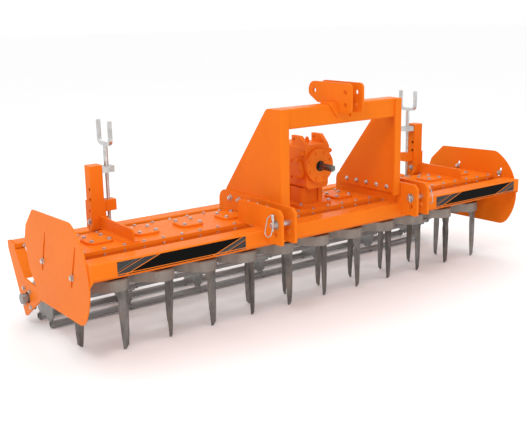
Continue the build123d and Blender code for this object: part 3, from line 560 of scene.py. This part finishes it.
def model_bolt(name, across, height, washer):
    """A hex head with a crowned top on a washer."""
    head = model_head(name, across, height, washer, BOLT_CROWN)
    return fuse([head, model_washer(across, washer)], name)


def model_nut(name, across, height, washer, stud):
    """A hex nut on a washer with the bolt's end standing out of it."""
    nut = model_head(name, across, height, washer, NUT_CROWN)
    length = washer + height + stud
    end = turned_bar("stud", SLIM_ROUND, across * STUD_RADIUS, length, (0, 0, length / 2))
    crown(end, across * STUD_CHAMFER, across * STUD_CROWN)
    return fuse([nut, end, model_washer(across, washer)], name)


def model_dome(name, radius, height):
    """A domed bolt head cut from a sphere, with a shallow rim."""
    rim = height * DOME_RIM
    deselect()
    bpy.ops.mesh.primitive_uv_sphere_add(segments=16, ring_count=8, radius=radius)
    dome = settle(name)
    bpy.ops.object.mode_set(mode="EDIT")
    bpy.ops.mesh.select_all(action="SELECT")
    bpy.ops.mesh.bisect(plane_co=(0, 0, 0), plane_no=(0, 0, 1), use_fill=True, clear_inner=True)
    bpy.ops.mesh.select_all(action="SELECT")
    bpy.ops.transform.resize(value=(1, 1, height / radius), center_override=(0, 0, 0))
    pick_faces(dome, lambda normal: normal.z < -LEVEL)
    bpy.ops.mesh.extrude_region_move(TRANSFORM_OT_translate={"value": (0, 0, -rim)})
    bpy.ops.mesh.select_all(action="SELECT")
    bpy.ops.transform.translate(value=(0, 0, rim))
    bpy.ops.object.mode_set(mode="OBJECT")
    return dome


# Ripples of a weld; faces whose normal rises more than the cap lean along the seam
RIPPLE_RADIUS = 0.0045
RIPPLE_PITCH = 0.0052
RIPPLE_LEAN = 0.0012
RIPPLE_SINK = 0.0006
RIPPLE_CAP = 0.5


def model_ripple(name):
    """One ripple of a weld: a flattened drop that leans along the seam."""
    deselect()
    bpy.ops.mesh.primitive_uv_sphere_add(segments=8, ring_count=5, radius=RIPPLE_RADIUS)
    ripple = settle(name)
    bpy.ops.object.mode_set(mode="EDIT")
    pick_faces(ripple, lambda normal: normal.z > RIPPLE_CAP)
    bpy.ops.transform.translate(value=(RIPPLE_LEAN, 0, -RIPPLE_SINK))
    bpy.ops.object.mode_set(mode="OBJECT")
    return ripple


BEAD_FLATTENING = 0.4


def model_ring(name, major, minor, sides):
    """A round bead for a weld about a tube, flattened on its plate's side."""
    deselect()
    bpy.ops.mesh.primitive_torus_add(
        major_radius=major, minor_radius=minor, major_segments=sides, minor_segments=5
    )
    ring = settle(name)
    bpy.ops.object.mode_set(mode="EDIT")
    pick_points(ring, lambda place: place.z < 0)
    bpy.ops.transform.translate(value=(0, 0, minor * BEAD_FLATTENING))
    bpy.ops.object.mode_set(mode="OBJECT")
    return ring


BOLT = model_bolt("bolt_pattern", across=0.017, height=0.007, washer=0.0022)
SMALL_BOLT = model_bolt("small_bolt_pattern", across=0.013, height=0.0055, washer=0.0018)
LARGE_BOLT = model_bolt("large_bolt_pattern", across=0.022, height=0.009, washer=0.0028)
NUT = model_nut("nut_pattern", across=0.013, height=0.0065, washer=0.0018, stud=0.005)
LARGE_NUT = model_nut("large_nut_pattern", across=0.022, height=0.011, washer=0.0028, stud=0.006)
DOME = model_dome("dome_pattern", radius=0.0135, height=0.008)
RIPPLE = model_ripple("ripple_pattern")
TUBE_BEAD = model_ring("tube_bead_pattern", major=0.0178, minor=0.0026, sides=ROUND)

GOLDEN_ANGLE = 2.39996
HEX_STEP = math.pi / 3


def own_turn(index):
    """A wrench angle of its own for each fastener."""
    return (index * GOLDEN_ANGLE) % HEX_STEP


def square(offset):
    """The four corners of a bolt square, from its middle."""
    return [(a, b) for a in (-offset, offset) for b in (-offset, offset)]


# Trough lid and bearing caps
LID_BOLTS = 28
LID_BOLT_REACH = 1.384
LID_ROW_OFFSET = 0.146
CAP_BOLT_OFFSET = 0.044


def bolt_lid():
    """Two rows of bolts along the lid with nuts under the flange, and four bolts on each cap."""
    step = 2 * LID_BOLT_REACH / (LID_BOLTS - 1)
    rows = (ROTOR_Y - LID_ROW_OFFSET, ROTOR_Y + LID_ROW_OFFSET)
    spots = [(-LID_BOLT_REACH + i * step, y) for y in rows for i in range(LID_BOLTS)]
    corners = [(x + a, ROTOR_Y + b) for x in ROTOR_X if x for a, b in square(CAP_BOLT_OFFSET)]
    for pattern, name, places, z, up, first in (
        (SMALL_BOLT, "lid_bolts", spots, LID_HIGH.z, 1, 0),
        (NUT, "lid_nuts", spots, FLANGE_UNDER, -1, 3),
        (BOLT, "cap_bolts", corners, CAP_TOP, 1, 5),
    ):
        seats = [seat((x, y, z), (0, 0, up), own_turn(i)) for i, (x, y) in enumerate(places, first)]
        spread(pattern, name, seats, "frame", "zinc_plate")


# Gearbox
FOOT_BOLT_OFFSET = 0.097
FRONT_COVER_CIRCLE = 0.074
FRONT_COVER_BOLTS = 8
REAR_COVER_COLUMNS = (-0.055, 0, 0.055)
REAR_COVER_ROWS = (-0.07, 0, 0.07)
SIDE_COVER_CIRCLE = 0.05
SIDE_COVER_BOLTS = 6
SEAL_RADIUS = 0.024
SEAL_SECTION = 0.0045
SEAL_LIP_RADIUS = 0.0215
SEAL_LIP_REACH = 0.002


def round_seats(centre, facing, radius, count, start=0.0):
    """Seats on a circle about a point on a face that looks along X or Y."""
    seats = []
    for i in range(count):
        angle = start + 2 * math.pi * i / count
        side, rise = radius * math.cos(angle), radius * math.sin(angle)
        offset = (side, 0, rise) if facing[1] else (0, side, rise)
        seats.append(seat(Vector(centre) + Vector(offset), facing, own_turn(i)))
    return seats


def bolt_gearbox():
    """Foot bolts of the gearbox, and its cover bolts and plugs, painted over with it."""
    foot_z = LID_HIGH.z + GEARBOX_FOOT
    foot = [seat((a, ROTOR_Y + b, foot_z), (0, 0, 1)) for a, b in square(FOOT_BOLT_OFFSET)]
    spread(BOLT, "gearbox_foot_bolts", foot, "frame", "zinc_plate")
    covers = [seat((0, ROTOR_Y - TOP_PLUG_AHEAD, TOP_PLUG_Z), (0, 0, 1))]
    front = (0, GEARBOX_LOW.y, PTO_Z)
    half_step = math.pi / FRONT_COVER_BOLTS
    covers += round_seats(front, (0, -1, 0), FRONT_COVER_CIRCLE, FRONT_COVER_BOLTS, half_step)
    rear = [(a, b) for a in REAR_COVER_COLUMNS for b in REAR_COVER_ROWS if a or b]
    for i, (a, b) in enumerate(rear):
        covers.append(seat((a, GEARBOX_HIGH.y, PTO_Z + b), (0, 1, 0), own_turn(i)))
    plugs = []
    for side in SIDES.values():
        face = (side, 0, 0)
        middle = (side * SIDE_COVER_X, ROTOR_Y - SIDE_COVER_AHEAD, SIDE_COVER_Z)
        covers += round_seats(middle, face, SIDE_COVER_CIRCLE, SIDE_COVER_BOLTS)
        plugs.append(seat((side * SIDE_COVER_X, ROTOR_Y - SIDE_PLUG_AHEAD, SIDE_PLUG_Z), face))
    spread(SMALL_BOLT, "gearbox_cover_bolts", covers, "frame", "orange_casting")
    spread(BOLT, "gearbox_plugs", plugs, "frame", "orange_casting")


def seal_shaft():
    """The lipped oil seal about the power take-off shaft."""
    deselect()
    bpy.ops.mesh.primitive_torus_add(
        major_radius=SEAL_RADIUS,
        minor_radius=SEAL_SECTION,
        major_segments=40,
        minor_segments=10,
        location=(0, GEARBOX_LOW.y, PTO_Z),
        rotation=(math.pi / 2, 0, 0),
    )
    seal = settle("shaft_seal")
    bpy.ops.object.mode_set(mode="EDIT")
    pick_points(seal, lambda place: math.hypot(place.x, place.z - PTO_Z) < SEAL_LIP_RADIUS)
    bpy.ops.transform.translate(value=(0, -SEAL_LIP_REACH, 0))
    bpy.ops.object.mode_set(mode="OBJECT")
    bpy.ops.object.shade_smooth()
    fit_piece(seal, "frame", "seal_rubber")


# Headstock and hitch
GUSSET_BOLTS = 5
GUSSET_BOLT_REACH = 0.097
GUSSET_BOLT_PITCH = 0.0825
GUSSET_BOLT_Z = 0.611
LINCH_RADIUS = 0.0048
LINCH_LENGTH = 0.058
LINCH_LIFT = 0.001
EYE_RADIUS = 0.0085
EYE_HEIGHT = 0.024
EYE_LIFT = 0.04
RING_RADIUS = 0.0265
RING_WIRE = 0.0027
RING_STRETCH = 0.025
RING_MIDDLE = 0.0001
RING_LEAN = math.radians(-14)
RING_REACH = 0.021
RING_DROP = 0.001
TAIL_RADIUS = 0.0225
TAIL_THICKNESS = 0.005
CROSS_RADIUS = 0.0034
CROSS_LENGTH = 0.05
CROSS_LIFT = 0.0125


def bolt_headstock():
    """Domed bolts inside the gussets with their nuts outside the inner ears."""
    domes, nuts = [], []
    for side in SIDES.values():
        for i in range(GUSSET_BOLTS):
            y = RAIL_LOW.y + GUSSET_BOLT_REACH + i * GUSSET_BOLT_PITCH
            domes.append(seat((side * GUSSET_INNER, y, GUSSET_BOLT_Z), (-side, 0, 0)))
            nuts.append(seat((side * EAR_HIGH.x, y, GUSSET_BOLT_Z), (side, 0, 0), own_turn(i)))
    spread(DOME, "gusset_bolts", domes, "frame", "zinc_plate")
    spread(LARGE_NUT, "gusset_nuts", nuts, "frame", "zinc_plate")


def model_linch_pin():
    """A linch pin with an eye and its long spring ring, for the right-hand pin stub."""
    stub_x = PIN_HIGH.x - LINCH_STUB / 2
    shank_place = (stub_x, PIN_Y, PIN_Z + LINCH_LIFT)
    shank = turned_bar("linch_shank", ROUND, LINCH_RADIUS, LINCH_LENGTH, shank_place)
    crown(shank, width=0.0012, rise=0.001)
    eye = turned_bar("linch_eye", ROUND, EYE_RADIUS, EYE_HEIGHT, (stub_x, PIN_Y, PIN_Z + EYE_LIFT))
    crown(eye, width=0.002, rise=0.002)
    deselect()
    bpy.ops.mesh.primitive_torus_add(
        major_radius=RING_RADIUS,
        minor_radius=RING_WIRE,
        major_segments=24,
        minor_segments=8,
        rotation=(math.pi / 2, 0, math.pi / 2),
    )
    ring = settle("linch_ring")
    bpy.ops.object.mode_set(mode="EDIT")
    pick_points(ring, lambda place: place.z > RING_MIDDLE)
    bpy.ops.transform.translate(value=(0, 0, RING_STRETCH))
    pick_points(ring, lambda place: place.z < -RING_MIDDLE)
    bpy.ops.transform.translate(value=(0, 0, -RING_STRETCH))
    bpy.ops.object.mode_set(mode="OBJECT")
    hung = Matrix.Translation((stub_x + RING_REACH, PIN_Y, PIN_Z - RING_DROP))
    ring.data.transform(hung @ Matrix.Rotation(RING_LEAN, 4, "Y"))
    return fuse([shank, eye, ring], "linch_pin_pattern")


def pin_hitch():
    """Linch pins outside, and a washer with a cross pin on each pin's inner end."""
    linch = model_linch_pin()
    half_turn = Matrix.Translation((0, 2 * PIN_Y, 0)) @ Matrix.Rotation(math.pi, 4, "Z")
    spread(linch, "linch_pins", [half_turn, Matrix.Identity(4)], "frame", "zinc_plate", smooth=50)
    washer_place, cross_place = (0, 0, TAIL_THICKNESS / 2), (0, 0, CROSS_LIFT)
    washer = turned_bar("tail_washer", FINE_ROUND, TAIL_RADIUS, TAIL_THICKNESS, washer_place)
    crown(washer, width=0.002, rise=0.0008)
    lying = (math.pi / 2, 0, 0)
    cross = turned_bar("cross_pin", SLIM_ROUND, CROSS_RADIUS, CROSS_LENGTH, cross_place, lying)
    tail = fuse([washer, cross], "tail_pattern")
    ends = [seat((s * COLUMN_X, PIN_Y, PIN_Z), (-s, 0, 0), turn=0.3) for s in SIDES.values()]
    spread(tail, "pin_tails", ends, "frame", "zinc_plate")
    bpy.data.objects.remove(linch)
    bpy.data.objects.remove(tail)


# Deflectors, posts and roller arms
DEFLECTOR_BOLT_Z = {"left": 0.432, "right": 0.55}
POST_BOLT_AHEAD = 0.015
POST_BOLT_Z = 0.571
BEARING_BOLT_OFFSET = 0.042
REAR_BOLT_INSET = 0.043
THREAD_START = 0.004
THREAD_PITCH = 0.004
THREAD_TURNS = 75
THREAD_STEPS = 12
THREAD_RADIUS = 0.0088
TOOTH_RADIUS = 0.0016
TOOTH_SHAPE = (0.5, 1, 1.1)


def slot_spot(reach, height):
    """The place on a deflector slot's line at a height, from the slot's middle."""
    return RAIL_LOW.y + reach - (height - SLOT_Z) * math.tan(SLOT_TILT)


def bolt_sides():
    """Deflector bolts in their slots, with nuts on the right, and post bolts with their nuts."""
    heads, nuts = [], []
    for name, side in SIDES.items():
        z = DEFLECTOR_BOLT_Z[name]
        for reach in SLOT_REACHES:
            y = slot_spot(reach, z)
            heads.append(seat((side * DEFLECTOR_HIGH.x, y, z), (side, 0, 0), turn=0.2))
            if name == "right":
                nuts.append(seat((side * DEFLECTOR_LOW.x, y, z), (-side, 0, 0), turn=0.4))
        for face, target in ((-1, heads), (1, nuts)):
            place = (side * POST_X + face * OUTER_TUBE / 2, POST_Y - POST_BOLT_AHEAD, POST_BOLT_Z)
            target.append(seat(place, (face, 0, 0), turn=0.15))
    spread(LARGE_BOLT, "side_bolts", heads, "frame", "zinc_plate")
    spread(LARGE_NUT, "side_nuts", nuts, "frame", "zinc_plate")


def bolt_roller_frame():
    """Four bolts on each bearing, and one on the front of each end of the rear beam."""
    bearings, ends = [], []
    beam_z = (REAR_LOW.z + REAR_HIGH.z) / 2
    for side in SIDES.values():
        for a, b in square(BEARING_BOLT_OFFSET):
            place = (side * ARM_OUTER, ROLLER_Y + a, ROLLER_Z + b)
            bearings.append(seat(place, (side, 0, 0), own_turn(len(bearings))))
        end = (side * (REAR_HIGH.x - REAR_BOLT_INSET), REAR_LOW.y, beam_z)
        ends.append(seat(end, (0, -1, 0), turn=0.3))
    spread(BOLT, "bearing_bolts", bearings, "roller_frame", "zinc_plate")
    spread(SMALL_BOLT, "rear_beam_bolts", ends, "roller_frame", "zinc_plate")


def cut_threads():
    """A rolled thread along each depth screw."""
    deselect()
    bpy.ops.mesh.primitive_circle_add(vertices=3, radius=TOOTH_RADIUS, rotation=(math.pi / 2, 0, 0))
    thread = settle("thread_pattern")
    bpy.ops.object.mode_set(mode="EDIT")
    bpy.ops.mesh.select_all(action="SELECT")
    bpy.ops.transform.resize(value=TOOTH_SHAPE)
    bpy.ops.transform.translate(value=(THREAD_RADIUS, 0, 0))
    bpy.ops.object.mode_set(mode="OBJECT")
    screw = thread.modifiers.new("screw", "SCREW")
    screw.screw_offset = THREAD_PITCH
    screw.iterations = THREAD_TURNS
    screw.steps = screw.render_steps = THREAD_STEPS
    bpy.ops.object.modifier_apply(modifier="screw")
    bpy.ops.object.mode_set(mode="EDIT")
    bpy.ops.mesh.select_all(action="SELECT")
    bpy.ops.mesh.fill_holes(sides=3)
    bpy.ops.mesh.normals_make_consistent(inside=False)
    bpy.ops.object.mode_set(mode="OBJECT")
    foot_z = SCREW_LOW.z + THREAD_START
    places = [Matrix.Translation((side * SCREW_X, POST_Y, foot_z)) for side in SIDES.values()]
    spread(thread, "screw_threads", places, "roller_frame", "zinc_plate")
    bpy.data.objects.remove(thread)


# Rotors
TINE_BOLT_SPOTS = ((0.0874, 0.0172), (0.0644, -0.0156))


def bolt_tines():
    """Two bolts beside each tine's pad under its carrier, mirrored from rotor to rotor."""
    for number, x in enumerate(ROTOR_X, start=1):
        hand = 1 if number % 2 else -1
        seats = []
        for half in (0, math.pi):
            turn = Matrix.Rotation(ROTOR_TURN + half, 3, "Z")
            for a, b in TINE_BOLT_SPOTS:
                spot = turn @ Vector((a, hand * b, 0))
                place = (x + spot.x, ROTOR_Y + spot.y, CARRIER_UNDER)
                seats.append(seat(place, (0, 0, -1), own_turn(len(seats))))
        spread(BOLT, f"tine_bolts_{number:02d}", seats, f"rotor_{number:02d}", "tine_steel")


# Welds
def bead(start, end, facing, trim):
    """Seats for ripples along a straight seam, trimmed at its start and end."""
    start, end = Vector(start), Vector(end)
    along = (end - start).normalized()
    run = end - start - along * sum(trim)
    start = start + along * trim[0]
    up = Vector(facing).normalized()
    turn = Matrix((along, up.cross(along), up)).transposed().to_4x4()
    count = max(2, round(run.length / RIPPLE_PITCH))
    return [Matrix.Translation(start + run * (i + 0.5) / count) @ turn for i in range(count)]


def headstock_seams(side):
    """The top beam in its column and gusset, and a bracket plate on the beam."""
    front, back = TOP_BEAM_LOW.y, TOP_BEAM_HIGH.y
    low, high = TOP_BEAM_LOW.z, TOP_BEAM_HIGH.z
    x = side * (COLUMN_X - COLUMN_FLANGE)
    seams = bead((x, front, low), (x, front, high), (-side, -1, 0), trim=(0.006, 0.008))
    x = side * GUSSET_INNER
    seams += bead((x, front, low), (x, back, low), (-side, 0, -1), trim=(0.01, 0.008))
    seams += bead((x, back, low), (x, back, high), (-side, 1, 0), trim=(0.006, 0.01))
    x = side * TOP_PLATE_OUTER
    return seams + bead((x, front, high), (x, back, high), (side, 0, 1), trim=(0.076, 0.01))


def ear_seams(side):
    """Both faces of both hitch ears on the rail's top and front."""
    front, back, top = RAIL_LOW.y, RAIL_HIGH.y, RAIL_HIGH.z
    inner, outer = (EAR_LOW, EAR_HIGH), (OUTER_EAR_LOW, OUTER_EAR_HIGH)
    seams = []
    for low, high in (inner, outer):
        for x, tilt in ((side * low.x, -side), (side * high.x, side)):
            seams += bead((x, front, top), (x, back, top), (tilt, 0, 1), trim=(0.008, 0.008))
            seams += bead((x, front, low.z), (x, front, top), (tilt, -1, 0), trim=(0.01, 0.008))
    return seams


def foot_seams(side):
    """The post's web on its foot, and the foot on the lid."""
    front = RAIL_LOW.y + WEB_REACH
    collar = POST_Y - OUTER_TUBE / 2 - COLLAR_THICKNESS
    top = LID_HIGH.z + FOOT_THICKNESS
    seams = []
    for edge in (-1, 1):
        x = side * POST_X + edge * WEB_THICKNESS / 2
        seams += bead((x, front, top), (x, collar, top), (edge, 0, 1), trim=(0.008, 0.004))
        x = side * POST_X + edge * FOOT_WIDTH / 2
        start, end = (x, front, LID_HIGH.z), (x, LID_HIGH.y, LID_HIGH.z)
        seams += bead(start, end, (edge, 0, 1), trim=(0.004, 0.006))
    return seams


def weld_frame():
    """Fillet beads on the headstock, hitch ears and post feet."""
    seams = []
    for side in SIDES.values():
        seams += headstock_seams(side) + ear_seams(side) + foot_seams(side)
    spread(RIPPLE, "frame_welds", seams, "frame", "orange_paint", smooth=60)


def weld_roller_frame():
    """Fillet beads where the arms and links meet the rear beam, and the links the inner posts."""
    front, back, low, high = REAR_LOW.y, REAR_HIGH.y, REAR_LOW.z, REAR_HIGH.z
    half_link = LINK_WIDTH / 2
    seams = []
    for side in SIDES.values():
        x = side * REAR_HIGH.x
        for z, tilt in ((high, 1), (low, -1)):
            seams += bead((x, front, z), (x, back, z), (-side, 0, tilt), trim=(0.01, 0.01))
        middle = side * POST_X
        for edge in (-1, 1):
            x = middle + edge * (half_link - LINK_CORNER)
            seams += bead((x, front, low), (x, back, low), (edge, 0, -1), trim=(0.01, 0.016))
            x = middle + edge * half_link
            start, end = (x, POST_REAR, POST_LOW.z), (x, POST_REAR, low)
            seams += bead(start, end, (edge, 1, 0), trim=(0.008, 0.008))
        start, end = (middle - half_link, POST_REAR, low), (middle + half_link, POST_REAR, low)
        seams += bead(start, end, (0, 1, 1), trim=(0.004, 0.004))
    spread(RIPPLE, "roller_frame_welds", seams, "roller_frame", "orange_paint", smooth=60)


def weld_roller():
    """Round beads where every tube passes a plate of the cage roller."""
    step = (2 * ROLLER_PLATE_REACH - ROLLER_PLATE) / (ROLLER_PLATES - 1)
    beads = []
    for i in range(ROLLER_PLATES):
        x = -ROLLER_PLATE_REACH + i * step
        for j in range(ROLLER_BARS):
            angle = 2 * math.pi * j / ROLLER_BARS
            y = ROLLER_Y + ROLLER_CIRCLE * math.cos(angle)
            z = ROLLER_Z + ROLLER_CIRCLE * math.sin(angle)
            beads.append(seat((x, y, z), (-1, 0, 0)))
            beads.append(seat((x + ROLLER_PLATE, y, z), (1, 0, 0)))
    spread(TUBE_BEAD, "roller_welds", beads, "roller", "roller_steel", smooth=60)


# Stickers on the rail's front
STICKER_ENDS = {"sticker_left": (-1.315, -0.632), "sticker_right": (0.7, 1.395)}
STICKER_FOOT = 0.005
STICKER_HEAD = 0.007
STICKER_CORNER = 0.004
STICKER_THICKNESS = 0.0004


def lay_sticker(name, left, right):
    """A thin printed film with rounded corners on the rail's front face."""
    low, high = RAIL_LOW.z + STICKER_FOOT, RAIL_HIGH.z - STICKER_HEAD
    deselect()
    bpy.ops.mesh.primitive_plane_add(
        size=1,
        location=((left + right) / 2, RAIL_LOW.y + BEDDING, (low + high) / 2),
        rotation=(math.pi / 2, 0, 0),
    )
    bpy.ops.transform.resize(value=(right - left, 1, high - low))
    film = settle(name)
    raised = (0, -BEDDING - STICKER_THICKNESS, 0)
    bpy.ops.object.mode_set(mode="EDIT")
    bpy.ops.mesh.select_all(action="SELECT")
    bpy.ops.mesh.bevel(affect="VERTICES", offset=STICKER_CORNER, segments=3)
    bpy.ops.mesh.select_all(action="SELECT")
    bpy.ops.mesh.extrude_region_move(TRANSFORM_OT_translate={"value": raised})
    bpy.ops.mesh.select_all(action="SELECT")
    bpy.ops.mesh.normals_make_consistent(inside=False)
    bpy.ops.object.mode_set(mode="OBJECT")
    ends = {"Left End": left, "Right End": right, "Foot": low, "Head": high}
    film.data.materials.append(finish_material(name, STRIPE_BAND, ends, ior=1.12))
    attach(film, "frame")


bolt_lid()
bolt_gearbox()
seal_shaft()
bolt_headstock()
pin_hitch()
bolt_sides()
bolt_roller_frame()
cut_threads()
bolt_tines()
weld_frame()
weld_roller_frame()
weld_roller()
for label, (left, right) in STICKER_ENDS.items():
    lay_sticker(label, left, right)
for pattern in (BOLT, SMALL_BOLT, LARGE_BOLT, NUT, LARGE_NUT, DOME, RIPPLE, TUBE_BEAD):
    bpy.data.objects.remove(pattern)


# Camera at the photo's view
CAMERA_PLACE = Vector((-2.8496, -3.6756, 1.5716))
CAMERA_TURN = math.radians(-35.9275)
CAMERA_TILT = math.radians(13.3999)
CAMERA_ROLL = math.radians(-1.0604)
CAMERA_LENS = 57.42
CAMERA_SENSOR = 36


def set_camera():
    """Create the camera from its place, compass turn, tilt and roll."""
    ahead = Vector(
        (
            -math.sin(CAMERA_TURN) * math.cos(CAMERA_TILT),
            math.cos(CAMERA_TURN) * math.cos(CAMERA_TILT),
            -math.sin(CAMERA_TILT),
        )
    )
    level = Vector((math.cos(CAMERA_TURN), math.sin(CAMERA_TURN), 0))
    upright = level.cross(ahead)
    right = math.cos(CAMERA_ROLL) * level + math.sin(CAMERA_ROLL) * upright
    up = -math.sin(CAMERA_ROLL) * level + math.cos(CAMERA_ROLL) * upright
    lens = bpy.data.cameras.new("photo_camera")
    lens.sensor_width = CAMERA_SENSOR
    lens.lens = CAMERA_LENS
    camera = bpy.data.objects.new("photo_camera", lens)
    bpy.context.scene.collection.objects.link(camera)
    turn = Matrix((right, up, -ahead)).transposed().to_4x4()
    camera.matrix_world = Matrix.Translation(CAMERA_PLACE) @ turn
    bpy.context.scene.camera = camera


# Studio
FLOOR_SIZE = 120
FLOOR_DROP = 0.0005
FLOOR_DARK = (0.97, 0.97, 0.97, 1)
FLOOR_BRIGHT = (0.99, 0.99, 0.99, 1)
LIGHT_TARGET = Vector((0, 0, 0.5))


def area_light(name, place, size, power):
    """A soft square lamp that looks at the machine."""
    lamp = bpy.data.lights.new(name, "AREA")
    lamp.size = size
    lamp.energy = power
    light = bpy.data.objects.new(name, lamp)
    light.location = place
    light.rotation_euler = (LIGHT_TARGET - Vector(place)).to_track_quat("-Z", "Y").to_euler()
    bpy.context.scene.collection.objects.link(light)


def lay_floor():
    """A pale floor just under the machine."""
    deselect()
    bpy.ops.mesh.primitive_plane_add(size=FLOOR_SIZE, location=(0, 0, -FLOOR_DROP))
    floor = bpy.context.object
    floor.name = "studio_floor"
    material = bpy.data.materials.new("studio_floor")
    material.use_nodes = True
    tree = material.node_tree
    shader = tree.nodes["Principled BSDF"]
    place = tree.nodes.new("ShaderNodeTexCoord").outputs["Object"]
    tone = mix_colour(tree, noise(tree, place, scale=0.6), FLOOR_DARK, FLOOR_BRIGHT)
    tree.links.new(tone, shader.inputs["Base Color"])
    shader.inputs["Roughness"].default_value = 0.9
    floor.data.materials.append(material)


def set_light():
    """Even white air, a key lamp from the front left and a wide lamp above."""
    world = bpy.data.worlds.new("studio_air")
    world.use_nodes = True
    air = world.node_tree.nodes["Background"].inputs
    air["Color"].default_value = (1, 1, 1, 1)
    air["Strength"].default_value = 1.0
    bpy.context.scene.world = world
    bpy.context.scene.view_settings.view_transform = "Standard"
    area_light("key_light", place=(-4.0, -3.5, 5.5), size=1.2, power=110)
    area_light("top_light", place=(0.5, 0.5, 6.0), size=5.0, power=70)


set_camera()
lay_floor()
set_light()
